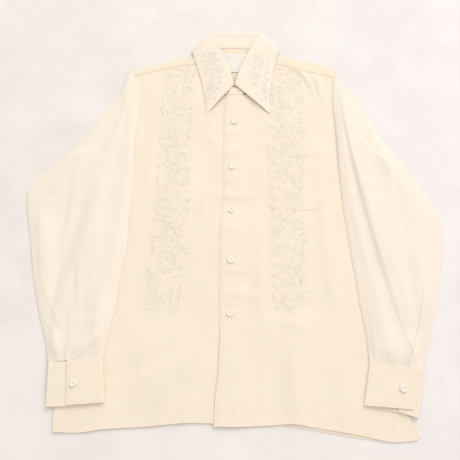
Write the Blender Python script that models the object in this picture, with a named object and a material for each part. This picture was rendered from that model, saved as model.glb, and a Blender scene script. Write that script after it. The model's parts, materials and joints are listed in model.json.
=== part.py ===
"""Embroidered long-sleeved shirt, buttoned and laid flat on its back.

It is built as a maker would cut and sew it: back, yoke, two fronts, placket, pocket, sleeves,
sleeve slit bands, cuffs, collar stand, collar, label and buttons. X runs to the right as the
shirt is seen from above, Y towards the collar, Z up. The floor is Z = 0.
Layout sizes are in millimetres, and the meshes are in metres.
"""
import math

import bpy
import bmesh
import numpy as np

for old in list(bpy.data.objects):
    bpy.data.objects.remove(old, do_unlink=True)

# Driving sizes, in millimetres
MM = 0.001
WALL = 1.0                # cloth, thick enough to be a solid
CUFF_WALL = 1.4           # cuffs have a stiff layer inside
GAP = 0.3                 # between pieces that touch
STEP = WALL + GAP         # one layer of cloth on another
LAY = (-4.0, 4.3)         # moves the layout so that its box is centred on the origin
YOKE_SEAM = 250.0         # the seam across the back
NECK_HALF = 63.0          # half the width of the neck cut
COLLAR_GAP = 3.0          # between stand and leaf, round the roll
FOLD_ROUND = 2.8          # run over which the collar turns from front to back at its side folds
FOLD_SHARE = 0.8          # and the share of its height that it turns there
COLLAR_TUCK = 6.0         # the collar turns in this far before it meets the stand
PLACKET_WIDTH = 37.0
SEAM = 0.9                # plan gap between panels that meet edge to edge
UNDERLAP = 14.0           # x where the under front ends below the placket
DRAPE_HOLD = 14.0         # a sleeve stays at body height this far past the body's edge
DRAPE_RUN = 15.0          # and comes down to the floor over this run
PUFF = 3.2                # height to which air holds a sleeve's upper layer
SLEEVE_RINGS = 26
SLEEVE_COLUMN_COUNT = 14
SLIT_START = 0.74         # share of the sleeve's rings above its slit band
BUTTON_RADIUS = 5.7
BUTTON_HEIGHT = 2.4
BUTTON_SINK = 0.7         # dish in a button's face
LABEL = {"x0": -20.0, "x1": 29.0, "y0": 293.0, "y1": 337.0}

# Shoulder line, where the yoke folds over to the front, and the back neck between x = -63 and 63
SHOULDER = {"x": (-208, -189, -159, -119, -83, -63, -36, 4, 40, 63, 92, 116, 157, 187, 210),
            "y": (292, 297, 307, 320, 330, 339, 357, 359, 356, 341, 336, 332, 321, 312, 303)}
# How far the yoke comes down the front
YOKE_DROP = {"x": (-208, -78, 91, 140, 210), "drop": (16, 20, 23, 28, 23)}
# Side edges of the body: hem corner, side seam, underarm, armhole, shoulder tip
LEFT_EDGE = {"y": (-399, -380, -160, 66, 80, 95, 140, 190, 240, 292),
             "x": (-265, -267, -267, -268, -250, -229, -201, -191, -194, -207)}
RIGHT_EDGE = {"y": (-400, -381, -362, -150, 66, 80, 100, 140, 190, 250, 303),
              "x": (298, 294, 284, 281, 276, 258, 236, 213, 205, 205, 209)}
# Hem of the under front, the upper front and the back
HEM_LEFT = {"x": (-268, -233, -190, -124, -79, -55, 14), "y": (-399, -400, -394, -389, -384, -382, -383)}
HEM_RIGHT = {"x": (-18, 6, 63, 103, 133, 209, 258, 276, 298),
             "y": (-387, -387, -384, -381, -385, -396, -404, -403, -400)}
HEM_BACK = {"x": (-268, -190, -79, 60, 103, 133, 209, 258, 298),
            "y": (-397, -391, -381, -382, -385, -389, -400, -403, -399)}
# Front neck cut, from the end of the yoke to the placket
NECK_LEFT = {"x": (-64, -60, -54, -41, -28, -14, 14), "y": (318, 305, 284, 259, 245, 236, 236)}
NECK_RIGHT = {"x": (-18, 23, 34, 46, 57, 62, 64), "y": (236, 236, 246, 260, 283, 303, 317)}
# Free edge of the upper front
PLACKET_EDGE = {"y": (-387, -347, -305, -241, -196, -56, 18, 182, 236),
                "x": (-19, -18, -14, -13, -17, -19, -15, -17, -14)}

# A sleeve's rings, from the armhole to the cuff: outer end, inner end, bow of the ring
SLEEVE_COLUMNS = ("outer_x", "outer_y", "inner_x", "inner_y", "bow")
LEFT_SLEEVE = ((-207, 290, -181, 66, 16), (-216, 250, -181, 52, 12), (-236, 207, -181, 38, 8),
               (-260, 172, -181, 24, 5), (-289, 116, -181, 8, 3), (-318, 79, -181, -8, 1),
               (-346, 52, -182, -24, 0), (-364, 28, -182, -40, 0), (-370, 8, -182, -56, 0),
               (-366, -15, -181, -74, 0), (-357, -52, -181, -95, 0), (-348, -89, -183, -118, 0),
               (-335, -142, -186, -154, 0), (-323, -183, -189, -190, 0), (-313, -215, -192, -220, 0),
               (-300, -250, -197, -248, 0), (-292, -274, -199, -268, 0), (-286, -294.6, -200.5, -285, 0))
RIGHT_SLEEVE = ((209, 301, 200, 82, -9), (211, 272, 201, 64, -4), (231, 252, 202, 48, -2),
                (253, 222, 202.5, 32, 0), (266, 188, 203, 16, 0), (283, 146, 204, 0, 0),
                (304, 113, 205, -16, 0), (331, 69, 207, -34, 0), (350, 34, 208, -52, 0),
                (367, -5, 210, -72, 0), (378, -43, 212, -92, 0), (375, -82, 214, -115, 0),
                (365, -117, 217, -140, 0), (349, -183, 220, -180, 0), (336, -228, 225, -222, 0),
                (326, -256, 228, -252, 0), (318, -278, 229, -272, 0), (313.5, -296, 229.5, -285, 0))

# Folds: a bent line from a to b to c, its height, and its width to the left and the right of the line
FOLD_COLUMNS = ("ax", "ay", "bx", "by", "cx", "cy", "height", "left", "right")
LEFT_SLEEVE_FOLDS = ((-200, 225, -203, 120, -233, -30, -2.2, 9, 9),
                     (-192, 200, -190, 60, -200, -150, 2.0, 10, 10),
                     (-262, 0, -274, -50, -300, -190, -3.2, 14, 8),
                     (-232, 60, -250, -60, -262, -190, 4.0, 18, 18),
                     (-268, -120, -262, -170, -257, -212, -2.2, 7, 7),
                     (-240, 175, -300, 90, -330, 0, 3.4, 22, 22),
                     (-335, -20, -325, -110, -306, -180, 3.0, 16, 16),
                     (-212, -150, -222, -220, -208, -272, 3.4, 12, 12),
                     (-246, -286, -228, -262, -206, -246, 3.0, 9, 9),
                     (-284, -250, -280, -268, -272, -288, 3.0, 8, 8))
RIGHT_SLEEVE_FOLDS = ((213, 245, 222, 60, 294, -250, 7.0, 28, 5),
                      (209, 190, 212, 20, 244, -190, 1.6, 10, 10),
                      (245, 195, 296, 90, 344, -40, 3.2, 22, 22),
                      (330, -60, 332, -140, 312, -240, 3.2, 16, 16),
                      (246, -150, 256, -220, 250, -276, 3.0, 12, 12),
                      (262, -288, 270, -262, 268, -236, 3.4, 8, 8),
                      (288, -292, 294, -262, 304, -240, 2.6, 8, 8))
BODY_FOLDS = ((116, 306, 148, 296, 156, 252, 3.4, 9, 6),
              (156, 292, 174, 280, 176, 216, 3.2, 9, 6),
              (108, -372, 112, -270, 126, -150, 3.6, 24, 20),
              (-30, -250, -78, -300, -130, -352, 3.2, 26, 22),
              (-96, 120, -82, 20, -96, -90, 2.2, 20, 20),
              (56, -60, 48, -150, 60, -240, 2.4, 14, 14),
              (168, 40, 166, -90, 178, -220, 2.6, 14, 10))

# Collar and stand, round the neck from the left front end to the right front end: the seam at the
# neck, the roll where the leaf turns over, the leaf's outer edge, and the way the leaf faces
COLLAR_COLUMNS = ("seam_x", "seam_y", "seam_z", "roll_x", "roll_y", "roll_z",
                  "edge_x", "edge_y", "edge_z", "facing")
COLLAR = ((-12, 240, 1.9, 1.5, 262, 4.5, -50, 189, 6.0, 90),
          (-40, 263, 3.1, -7, 290, 6.3, -54, 218, 5.0, 90),
          (-52, 285, 3.1, -13, 309, 7.0, -59, 249, 4.6, 90),
          (-59, 308, 3.5, -22, 330, 7.4, -65, 275, 4.6, 90),
          (-64, 325, 4.3, -31, 350, 7.6, -73, 302, 4.8, 90),
          (-68, 337, 5.5, -43, 377, 7.6, -81, 328, 5.2, 75),
          (-70, 344, 4.4, -50, 388, 5.6, -85, 342, 2.9, 0),
          (-60, 348, 3.2, -46, 392, 3.6, -81, 344, 0.5, -90),
          (-34, 355, 3.1, -28, 392, 3.5, -50, 343, 0.5, -90),
          (4, 357, 3.1, 3, 392, 3.5, 4, 343, 0.5, -90),
          (38, 354, 3.1, 34, 393, 3.5, 56, 345, 0.5, -90),
          (62, 348, 3.2, 52, 393, 3.6, 88, 350, 0.5, -90),
          (71, 344, 4.4, 57, 389, 5.6, 93, 350, 2.9, 0),
          (69, 337, 5.5, 49, 377, 7.6, 89, 335, 5.2, 75),
          (66, 323, 4.3, 36, 348, 7.6, 83, 304, 4.8, 90),
          (62, 306, 3.5, 28, 328, 7.4, 78, 275, 4.6, 90),
          (56, 284, 3.1, 20, 309, 7.0, 75, 250, 4.6, 90),
          (45, 263, 3.1, 13, 288, 6.8, 73, 225, 5.0, 90),
          (19, 240, 3.4, 6, 262, 6.2, 74, 192, 6.0, 90))
STAND_LEFT_TAB = (16, 240, 1.8, 18, 262, 3.4)
STAND_RIGHT_TAB = (-8, 240, 3.6, -6, 259, 5.6)

# A cuff, round its section from the free edge of the upper flap: share of the way from its inner
# end to its outer end, along the sleeve and along the bottom, extra drop of the bottom, and height
CUFF_COLUMNS = ("top_share", "bottom_share", "drop", "z")
LEFT_CUFF = ((0.71, 0.70, 0, 4.7), (0.50, 0.52, 0, 4.6), (0.25, 0.27, 0, 4.2), (0.03, 0.03, 0, 3.2),
             (0.005, 0.005, 0, 2.0), (0.03, 0.03, 0, 0.8), (0.30, 0.30, 1, 0.8), (0.65, 0.65, 1, 0.8),
             (0.97, 0.97, 0, 0.8), (0.995, 0.995, 0, 1.75), (0.97, 0.97, 0, 2.7), (0.74, 0.74, 1, 2.7),
             (0.52, 0.54, 1, 2.6))
RIGHT_CUFF = ((0.86, 0.89, 0, 4.7), (0.60, 0.62, 0, 4.6), (0.30, 0.32, 0, 4.2), (0.03, 0.03, 0, 3.2),
              (0.005, 0.005, 0, 2.0), (0.03, 0.03, 0, 0.8), (0.35, 0.35, 3, 0.8), (0.70, 0.70, 7, 0.8),
              (0.97, 0.99, 11, 0.8), (0.995, 1.015, 11, 1.75), (0.97, 0.99, 11, 2.7),
              (0.80, 0.82, 8, 2.7), (0.62, 0.64, 5, 2.6))
LEFT_CUFF_BOTTOM = ((-191, -355), (-280, -363))
RIGHT_CUFF_BOTTOM = ((215.5, -351.5), (296, -357))

FRONT_BUTTONS = ((5, 172), (2, 72), (2, -17), (3, -114), (3, -208))
CUFF_BUTTONS = {"button_cuff_left": (-244, -327), "button_cuff_right": (278, -325)}
# Slit bands: share of the ring, from its outer end, of each long edge at the top and at the cuff
SLIT_BANDS = {"left": {"top": (0.54, 0.37), "cuff": (0.70, 0.43)},
              "right": {"top": (0.96, 0.82), "cuff": (0.96, 0.72)}}
POCKET = {"x0": 67.5, "x1": 165.5, "top": 122.0, "bottom": -15.0, "corner": 9.0}

CREAM = (0.960, 0.868, 0.725, 1.0)
YOKE_CREAM = (0.945, 0.850, 0.665, 1.0)
COLLAR_CREAM = (0.965, 0.880, 0.755, 1.0)
BUTTON_WHITE = (0.930, 0.925, 0.900, 1.0)
LABEL_WHITE = (0.900, 0.895, 0.870, 1.0)


def material(name, colour, roughness):
    """A plain cloth, thread or plastic finish."""
    finish = bpy.data.materials.new(name)
    finish.use_nodes = True
    shader = finish.node_tree.nodes["Principled BSDF"]
    shader.inputs["Base Color"].default_value = colour
    shader.inputs["Roughness"].default_value = roughness
    shader.inputs["Metallic"].default_value = 0.0
    return finish


def smooth(x, start, end):
    """Rise from 0 at start to 1 at end, level at both."""
    t = np.clip((np.asarray(x, float) - start) / (end - start), 0.0, 1.0)
    return t * t * (3.0 - 2.0 * t)


def curve(keys, values, at):
    """Smooth curve through a table's points, with each slope taken from the points beside it."""
    keys = np.asarray(keys, float)
    values = np.asarray(values, float)
    rise = np.diff(values) / np.diff(keys)
    slope = np.empty_like(values)
    slope[0] = rise[0]
    slope[-1] = rise[-1]
    slope[1:-1] = np.where(rise[:-1] * rise[1:] > 0,
                           2 * rise[:-1] * rise[1:] / (rise[:-1] + rise[1:] + 1e-12), 0.0)
    at = np.clip(np.asarray(at, float), keys[0], keys[-1])
    i = np.clip(np.searchsorted(keys, at) - 1, 0, len(keys) - 2)
    span = keys[i + 1] - keys[i]
    t = (at - keys[i]) / span
    return ((1 + 2 * t) * (1 - t) ** 2 * values[i] + t * (1 - t) ** 2 * span * slope[i]
            + t * t * (3 - 2 * t) * values[i + 1] + t * t * (t - 1) * span * slope[i + 1])


def spline_rows(rows, steps):
    """More rows between the rows of a table, on a Catmull-Rom curve through them."""
    rows = np.asarray(rows, float)
    padded = np.vstack([2 * rows[0] - rows[1], rows, 2 * rows[-1] - rows[-2]])
    out = []
    for i in range(len(rows) - 1):
        p0, p1, p2, p3 = padded[i:i + 4]
        for t in np.linspace(0, 1, steps, endpoint=False):
            out.append(0.5 * (2 * p1 + (p2 - p0) * t + (2 * p0 - 5 * p1 + 4 * p2 - p3) * t * t
                              + (3 * p1 - p0 - 3 * p2 + p3) * t ** 3))
    out.append(rows[-1])
    return np.array(out)


def pick(table, columns, *names):
    """Named columns of a table, as an array with a row for each row of the table."""
    return np.asarray(table, float)[:, [columns.index(name) for name in names]]


def folds(x, y, table):
    """Height that the folds of a table add at a place: a bell across each line, fading at its ends."""
    x = np.asarray(x, float)
    y = np.asarray(y, float)
    height = np.zeros_like(x)
    t = np.linspace(0, 1, 25)
    for row in table:
        fold = dict(zip(FOLD_COLUMNS, row))
        line_x = (1 - t) ** 2 * fold["ax"] + 2 * t * (1 - t) * fold["bx"] + t * t * fold["cx"]
        line_y = (1 - t) ** 2 * fold["ay"] + 2 * t * (1 - t) * fold["by"] + t * t * fold["cy"]
        away_x = x[..., None] - line_x
        away_y = y[..., None] - line_y
        square = away_x ** 2 + away_y ** 2
        near = np.argmin(square, axis=-1)
        away = np.sqrt(np.min(square, axis=-1))
        along_x = np.gradient(line_x)[near]
        along_y = np.gradient(line_y)[near]
        near_x = np.take_along_axis(away_x, near[..., None], -1)[..., 0]
        near_y = np.take_along_axis(away_y, near[..., None], -1)[..., 0]
        side = along_x * near_y - along_y * near_x
        width = np.where(side > 0, fold["left"], fold["right"])
        fade = np.sin(np.pi * np.clip(t[near], 0.03, 0.97)) ** 0.6
        height += fold["height"] * np.exp(-(away / width) ** 2) * fade
    return height


def neck_lift(x, y):
    """Where the collar's back lies under the yoke, the yoke is one layer higher."""
    return STEP * smooth(y, 320, 334) * smooth(76 - np.abs(np.asarray(x) - 4), 0, 8)


def back_height(x, y):
    """Underside of the back and the yoke."""
    return neck_lift(x, y)


def front_height(x, y):
    """Underside of the fronts, folds included, away from what the sleeves and pocket cover."""
    return back_height(x, y) + STEP + np.maximum(folds(x, y, BODY_FOLDS), 0)


def upper_front_height(x, y):
    """Underside of the upper front, which climbs on to the under front below the placket."""
    return front_height(x, y) + STEP * (1 - smooth(x, 20, 32))


def body_edge(side, y):
    """Side of the body at a height on the layout."""
    table = LEFT_EDGE if side < 0 else RIGHT_EDGE
    return curve(table["y"], table["x"], y)


def shoulder(x):
    """Shoulder fold, and the neck edge of the back plus the run of the fold."""
    return curve(SHOULDER["x"], SHOULDER["y"], x)


def yoke_front(x):
    """Seam where the yoke meets the fronts."""
    return shoulder(x) - curve(YOKE_DROP["x"], YOKE_DROP["drop"], x)


def drape(side, x, y):
    """What a sleeve lies on: the body, then a slope down to the floor outside it."""
    x = np.asarray(x, float)
    y = np.asarray(y, float)
    inside = np.max([(x - body_edge(side, y + reach)) * -side for reach in (-20, -10, 0, 10, 20)], axis=0)
    over = smooth(inside, -DRAPE_HOLD - DRAPE_RUN, -DRAPE_HOLD)
    return 2 * STEP * over


def metres(points):
    """Layout millimetres to metres, centred on the origin."""
    return (np.asarray(points, float) + (LAY[0], LAY[1], 0.0)) * MM


def shell(name, finish, outer, inner, closed=False, keep=None, turned=None):
    """A cloth wall between two grids of points: rows along, columns across.

    Both faces are split along the same diagonals, so that the wall keeps its thickness, and the
    cells marked as turned are split the other way, so that a folded layer matches the one below.

    closed joins the last column to the first, as round a sleeve. keep marks the cells that are
    there, so a notch can be cut out of a sheet.
    """
    rows, columns = outer.shape[:2]
    cells = np.ones((rows - 1, columns if closed else columns - 1), bool) if keep is None else keep
    count = rows * columns
    points = np.vstack([metres(outer.reshape(-1, 3)), metres(inner.reshape(-1, 3))])
    faces = []
    rims = {}
    for i in range(cells.shape[0]):
        for j in range(cells.shape[1]):
            if not cells[i, j]:
                continue
            k = (j + 1) % columns
            a, b, c, d = i * columns + j, i * columns + k, (i + 1) * columns + k, (i + 1) * columns + j
            halves = ((a, b, d), (b, c, d)) if turned is not None and turned[i, j] else ((a, b, c), (a, c, d))
            for p, q, r in halves:
                faces.append((p, q, r))
                faces.append((r + count, q + count, p + count))
            for p, q in ((a, b), (b, c), (c, d), (d, a)):
                if (q, p) in rims:
                    del rims[(q, p)]
                else:
                    rims[(p, q)] = True
    for p, q in rims:
        faces.append((q, p, p + count, q + count))
    mesh = bpy.data.meshes.new(name)
    mesh.from_pydata(points.tolist(), [], faces)
    bm = bmesh.new()
    bm.from_mesh(mesh)
    loose = [v for v in bm.verts if not v.link_faces]
    bmesh.ops.delete(bm, geom=loose, context="VERTS")
    bmesh.ops.recalc_face_normals(bm, faces=bm.faces)
    bm.to_mesh(mesh)
    bm.free()
    mesh.materials.append(finish)
    mesh.shade_smooth()
    mesh.set_sharp_from_angle(angle=math.radians(50))
    piece = bpy.data.objects.new(name, mesh)
    bpy.context.scene.collection.objects.link(piece)
    return piece


def sheet(name, finish, under, wall=WALL, keep=None):
    """A sheet that lies on something: its underside, and the same points one wall higher."""
    return shell(name, finish, under + (0, 0, wall), under, keep=keep)


def surface_normals(middle):
    """Unit normals of a grid of points, from the directions along and across it."""
    along = np.gradient(middle, axis=0)
    across = np.gradient(middle, axis=1)
    normal = np.cross(along, across)
    return normal / np.linalg.norm(normal, axis=2, keepdims=True)


def front_grid(edge_side, centre_x, across, heights, hem, top):
    """Plan of a front or back: columns between its side and its centre, rows from hem to top."""
    high, share = np.meshgrid(heights, across, indexing="ij")
    level = hem_level(edge_side) + high * (top_level(edge_side) - hem_level(edge_side))
    side_x = body_edge(edge_side, level)
    x = side_x + share * (centre_x(level) - side_x)
    low = hem(x)
    return x, low + high * (top(x) - low)


def hem_level(side):
    """Height on the layout of the hem's corner."""
    return (LEFT_EDGE if side < 0 else RIGHT_EDGE)["y"][0]


def top_level(side):
    """Height on the layout where a front's side ends, at the yoke."""
    return float(yoke_front((LEFT_EDGE if side < 0 else RIGHT_EDGE)["x"][-1]))


def left_top(x):
    """Top of the under front: the yoke seam, then the neck cut."""
    return np.where(x < -NECK_HALF - 1, yoke_front(x) - SEAM, curve(NECK_LEFT["x"], NECK_LEFT["y"], x))


def right_top(x):
    """Top of the upper front: the neck cut, then the yoke seam."""
    return np.where(x > NECK_HALF + 1, yoke_front(x) - SEAM, curve(NECK_RIGHT["x"], NECK_RIGHT["y"], x))


PANEL_ROWS = np.concatenate([np.linspace(0, 0.60, 10), np.linspace(0.65, 1.0, 9)])
cloth = material("cream_cloth", CREAM, 0.75)
yoke_cloth = material("yoke_cloth", YOKE_CREAM, 0.75)
collar_cloth = material("collar_cloth", COLLAR_CREAM, 0.7)
button_plastic = material("button_plastic", BUTTON_WHITE, 0.25)
label_cloth = material("label_cloth", LABEL_WHITE, 0.6)


def build_back():
    """Back panel, flat on the floor from the hem to the yoke seam."""
    high, share = np.meshgrid(np.linspace(0, 1, 15), np.linspace(0, 1, 8), indexing="ij")
    top = YOKE_SEAM - GAP
    left_y = LEFT_EDGE["y"][0] + high * (top - LEFT_EDGE["y"][0])
    right_y = RIGHT_EDGE["y"][0] + high * (top - RIGHT_EDGE["y"][0])
    left_x = body_edge(-1, left_y)
    x = left_x + share * (body_edge(1, right_y) - left_x)
    low = curve(HEM_BACK["x"], HEM_BACK["y"], x)
    y = low + high * (top - low)
    return sheet("back", cloth, np.stack([x, y, np.zeros_like(x)], 2))


def build_yoke():
    """Yoke: up the back, over the shoulders and a little way down the front, open at the neck."""
    nominal = np.array([-208, -182, -155, -128, -104, -84, -NECK_HALF, -56, -36, -16, 4, 24, 44, 56,
                        NECK_HALF, 84, 106, 130, 156, 184, 210])
    back_share = (0.0, 0.33, 0.62, 0.78, 0.88, 1.0)
    turn = np.radians((30, 90, 150))
    front_rows = 3
    rows = len(back_share) + len(turn) + front_rows
    middle = np.zeros((rows, len(nominal), 3))
    share_across = (nominal - nominal[0]) / (nominal[-1] - nominal[0])
    near_neck = smooth(np.abs(nominal), 110, 70)
    radius = STEP / 2
    run = 4.0
    for i in range(rows):
        share = back_share[min(i, len(back_share) - 1)]
        left = body_edge(-1, YOKE_SEAM + share * (SHOULDER["y"][0] - YOKE_SEAM))
        right = body_edge(1, YOKE_SEAM + share * (SHOULDER["y"][-1] - YOKE_SEAM))
        x = left + share_across * (right - left)
        x = x + near_neck * (nominal - x)
        fold = shoulder(x)
        if i < len(back_share):
            y = YOKE_SEAM + share * (fold - run - YOKE_SEAM)
            z = back_height(x, y) + WALL / 2
        elif i < len(back_share) + len(turn):
            angle = turn[i - len(back_share)]
            y = fold - WALL / 2 - radius + radius * math.sin(angle)
            z = back_height(x, fold - run) + WALL / 2 + radius * (1 - math.cos(angle))
        else:
            under_row = YOKE_SEAM + back_share[-2] * (fold - run - YOKE_SEAM)
            y = (fold - run - GAP, np.maximum(under_row, yoke_front(x) + 4), yoke_front(x))[i - rows + front_rows]
            z = back_height(x, y) + STEP + WALL / 2
        middle[i, :, 0] = x
        middle[i, :, 1] = y
        middle[i, :, 2] = z
    normal = surface_normals(middle)
    keep = np.ones((rows - 1, len(nominal) - 1), bool)
    first_turn = len(back_share) - 1
    keep[first_turn:, np.abs(nominal[:-1] + np.diff(nominal) / 2) < NECK_HALF] = False
    back_rows = slice(0, len(back_share))
    normal[back_rows] = np.sign(normal[back_rows, :, 2:3]) * (0, 0, 1)
    turned = np.zeros_like(keep)
    turned[first_turn + len(turn) // 2 + 1:] = True
    return shell("yoke", yoke_cloth, middle + normal * WALL / 2, middle - normal * WALL / 2, keep=keep,
                 turned=turned)


def build_fronts():
    """The two fronts and the placket, which is made from the upper front's own points."""
    even = np.linspace(0, 1, 13)
    x, y = front_grid(-1, lambda level: UNDERLAP + 0 * level, even, PANEL_ROWS,
                      lambda x: curve(HEM_LEFT["x"], HEM_LEFT["y"], x), left_top)
    sheet("front_left", cloth, np.stack([x, y, front_height(x, y)], 2))

    band = np.array([0.0, 0.5, 1.0])
    rest = np.concatenate([[12.0, 26.0], np.linspace(46, 262, 9)])
    level = hem_level(1) + PANEL_ROWS * (top_level(1) - hem_level(1))
    free_edge = curve(PLACKET_EDGE["y"], PLACKET_EDGE["x"], np.minimum(level, 236))
    side_x = body_edge(1, level)
    x = np.zeros((len(level), len(band) + len(rest)))
    for i in range(len(level)):
        seam = free_edge[i] + PLACKET_WIDTH
        x[i, :3] = free_edge[i] + band * PLACKET_WIDTH
        x[i, 3:] = seam + rest / rest[-1] * (side_x[i] - seam)
    low = curve(HEM_RIGHT["x"], HEM_RIGHT["y"], x)
    y = low + PANEL_ROWS[:, None] * (right_top(x) - low)
    under = np.stack([x, y, upper_front_height(x, y)], 2)
    sheet("front_right", cloth, under)
    sheet("placket", cloth, under[:, :3] + (0, 0, STEP))


def build_pocket():
    """Patch pocket with cut lower corners, on the upper front."""
    columns = np.linspace(POCKET["x0"], POCKET["x1"], 7)
    depth = np.abs(columns - (POCKET["x0"] + POCKET["x1"]) / 2) - (POCKET["x1"] - POCKET["x0"]) / 2
    low = POCKET["bottom"] + np.maximum(depth + POCKET["corner"], 0)
    share = np.linspace(0, 1, 5)[:, None]
    y = low + share * (POCKET["top"] - low)
    x = np.broadcast_to(columns, y.shape)
    return sheet("pocket", cloth, np.stack([x, y, upper_front_height(x, y) + STEP], 2))


def ring_plan(rings, share):
    """Places along each ring of a sleeve, from its inner end (0) to its outer end (1)."""
    outer = pick(rings, SLEEVE_COLUMNS, "outer_x", "outer_y")[:, None]
    inner = pick(rings, SLEEVE_COLUMNS, "inner_x", "inner_y")[:, None]
    across = outer - inner
    length = np.linalg.norm(across, axis=2, keepdims=True)
    sideways = np.stack([across[..., 1], -across[..., 0]], 2) / length
    square = share[..., None] ** 2
    bow = pick(rings, SLEEVE_COLUMNS, "bow")[:, None] * np.sign(sideways[..., 0:1]) * 4 * square * (1 - square)
    return inner + share[..., None] * across + sideways * bow


def sleeve_rings(rows):
    """Rings of a sleeve, evenly spread through its table on a smooth curve."""
    fine = spline_rows(rows, 4)
    picks = np.linspace(0, len(fine) - 1, SLEEVE_RINGS).round().astype(int)
    return fine[picks]


def sleeve_layers(side, rings, share, table):
    """Plan, underside of the lower layer and underside of the upper layer of a sleeve."""
    plan = ring_plan(rings, share)
    x = plan[..., 0]
    y = plan[..., 1]
    along = np.linspace(0, 1, len(rings))[:, None]
    low = np.maximum(drape(side, x, y), 2 * STEP * smooth(along, 0.93, 1.0))
    level = smooth(along, 0.0, 0.12) * (1 - 0.6 * smooth(along, 0.9, 1.0))
    edge = np.clip(4 * share * (1 - share), 0, 1) ** 0.5
    air = PUFF * level * edge
    rise = folds(x, y, table) * smooth(share, 0, 0.12) * smooth(1 - share, 0, 0.1)
    return plan, low, low + STEP + np.maximum(air + rise, 0)


def build_sleeve(name, side, rows, table):
    """A sleeve as one flat tube: an upper and a lower layer joined by a turn at each edge."""
    rings = sleeve_rings(rows)
    share = np.broadcast_to(np.linspace(0, 1, SLEEVE_COLUMN_COUNT), (len(rings), SLEEVE_COLUMN_COUNT))
    top_plan, low_under, top_under = sleeve_layers(side, rings, share, table)
    low_plan = top_plan[:, ::-1]
    low_under = low_under[:, ::-1]
    outer_loop = []
    inner_loop = []

    def layer(plan, under, upward):
        for j in range(plan.shape[1]):
            high = under[:, j] + WALL
            outside = high if upward else under[:, j]
            inside = under[:, j] if upward else high
            outer_loop.append(np.column_stack([plan[:, j], outside]))
            inner_loop.append(np.column_stack([plan[:, j], inside]))

    def turn(index_top, index_low, sign):
        """A half round at an edge, between the two layers."""
        plan = top_plan[:, index_top]
        across = plan - top_plan[:, -1 - index_top]
        run = np.gradient(plan, axis=0)
        out = np.column_stack([run[:, 1], -run[:, 0]])
        out *= np.sign(np.sum(out * across, axis=1, keepdims=True))
        out = out / np.linalg.norm(out, axis=1, keepdims=True)
        high = top_under[:, index_top]
        low = low_under[:, index_low] + WALL
        centre = (high + low) / 2
        inside = (high - low) / 2
        outside = inside + WALL
        angles = (45, 0, -45) if sign > 0 else (-45, 0, 45)
        for angle in np.radians(angles):
            for loop, radius in ((outer_loop, outside), (inner_loop, inside)):
                bulge = plan + out * (radius * math.cos(angle))[:, None]
                loop.append(np.column_stack([bulge, centre + radius * math.sin(angle)]))

    layer(top_plan, top_under, True)
    turn(top_plan.shape[1] - 1, 0, 1)
    layer(low_plan, low_under, False)
    turn(0, low_plan.shape[1] - 1, -1)
    outer = np.stack(outer_loop, 1)
    turned = np.zeros((outer.shape[0] - 1, outer.shape[1]), bool)
    turned[:, SLEEVE_COLUMN_COUNT:] = True
    shell(name, cloth, outer, np.stack(inner_loop, 1), closed=True, turned=turned)


def build_slit_band(name, side, rows, table, band):
    """Narrow band on the sleeve's slit, made from the sleeve's points and moved out."""
    every = sleeve_rings(rows)
    first = round(SLIT_START * (SLEEVE_RINGS - 1))
    rings = every[first:]
    share = np.zeros((len(rings), 6))
    for i in range(len(rings)):
        t = i / (len(rings) - 1)
        start = band["top"][0] + t * (band["cuff"][0] - band["top"][0])
        end = band["top"][1] + t * (band["cuff"][1] - band["top"][1])
        share[i] = np.linspace(start, end, 6)
    columns = np.linspace(0, 1, SLEEVE_COLUMN_COUNT)
    full_share = np.broadcast_to(columns, (len(every), len(columns)))
    _, _, under = sleeve_layers(side, every, full_share, table)
    top = under[first:] + WALL
    place = ring_plan(rings, share)
    height = np.zeros_like(share)
    for i in range(len(rings)):
        height[i] = np.interp(share[i], columns, top[i])
    height += 3 * GAP
    return sheet(name, cloth, np.concatenate([place, height[..., None]], 2))


def build_cuff(name, sleeve, bottom, rows):
    """A cuff as one stiff strip, wrapped round with its flap over the under end."""
    down = np.linspace(0, 1, 4)
    inner_top = pick(sleeve, SLEEVE_COLUMNS, "inner_x", "inner_y")[-1] - (0, SEAM)
    outer_top = pick(sleeve, SLEEVE_COLUMNS, "outer_x", "outer_y")[-1] - (0, SEAM)
    inner_bottom, outer_bottom = np.asarray(bottom, float)
    middle = np.zeros((len(down), len(rows), 3))
    for j, row in enumerate(rows):
        place = dict(zip(CUFF_COLUMNS, row))
        above = inner_top + place["top_share"] * (outer_top - inner_top)
        below = inner_bottom + place["bottom_share"] * (outer_bottom - inner_bottom) - (0, place["drop"])
        middle[:, j, :2] = above + down[:, None] * (below - above)
        middle[:, j, 2] = place["z"] + 2 * STEP
    normal = surface_normals(middle)
    shell(name, cloth, middle + normal * CUFF_WALL / 2, middle - normal * CUFF_WALL / 2)


def collar_rows():
    """Sections of the collar: each side fold gets a section just before and after it, which gives
    the fold its round, and long stretches get one between."""
    table = np.array(COLLAR, float)
    rows = []
    for i, row in enumerate(table):
        if row[9] != 0:
            rows.append(row)
            continue
        for near in (table[i - 1], row, table[i + 1]):
            toward = near - row
            short = toward * FOLD_SHARE
            for start in (0, 3, 6):
                length = np.linalg.norm(toward[start:start + 2]) + 1e-9
                short[start:start + 2] = toward[start:start + 2] / length * min(FOLD_ROUND, length / 2)
            rows.append(row + short)
    rows = np.array(rows)
    step = np.linalg.norm(np.diff((rows[:, 3:6] + rows[:, 6:9]) / 2, axis=0), axis=1)
    keys = np.concatenate([[0], np.cumsum(step)])
    at = []
    for i in range(len(step)):
        at.append(keys[i])
        if step[i] > 3 * FOLD_ROUND:
            at.append((keys[i] + keys[i + 1]) / 2)
    at.append(keys[-1])
    return np.column_stack([curve(keys, rows[:, k], at) for k in range(rows.shape[1])])


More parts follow.
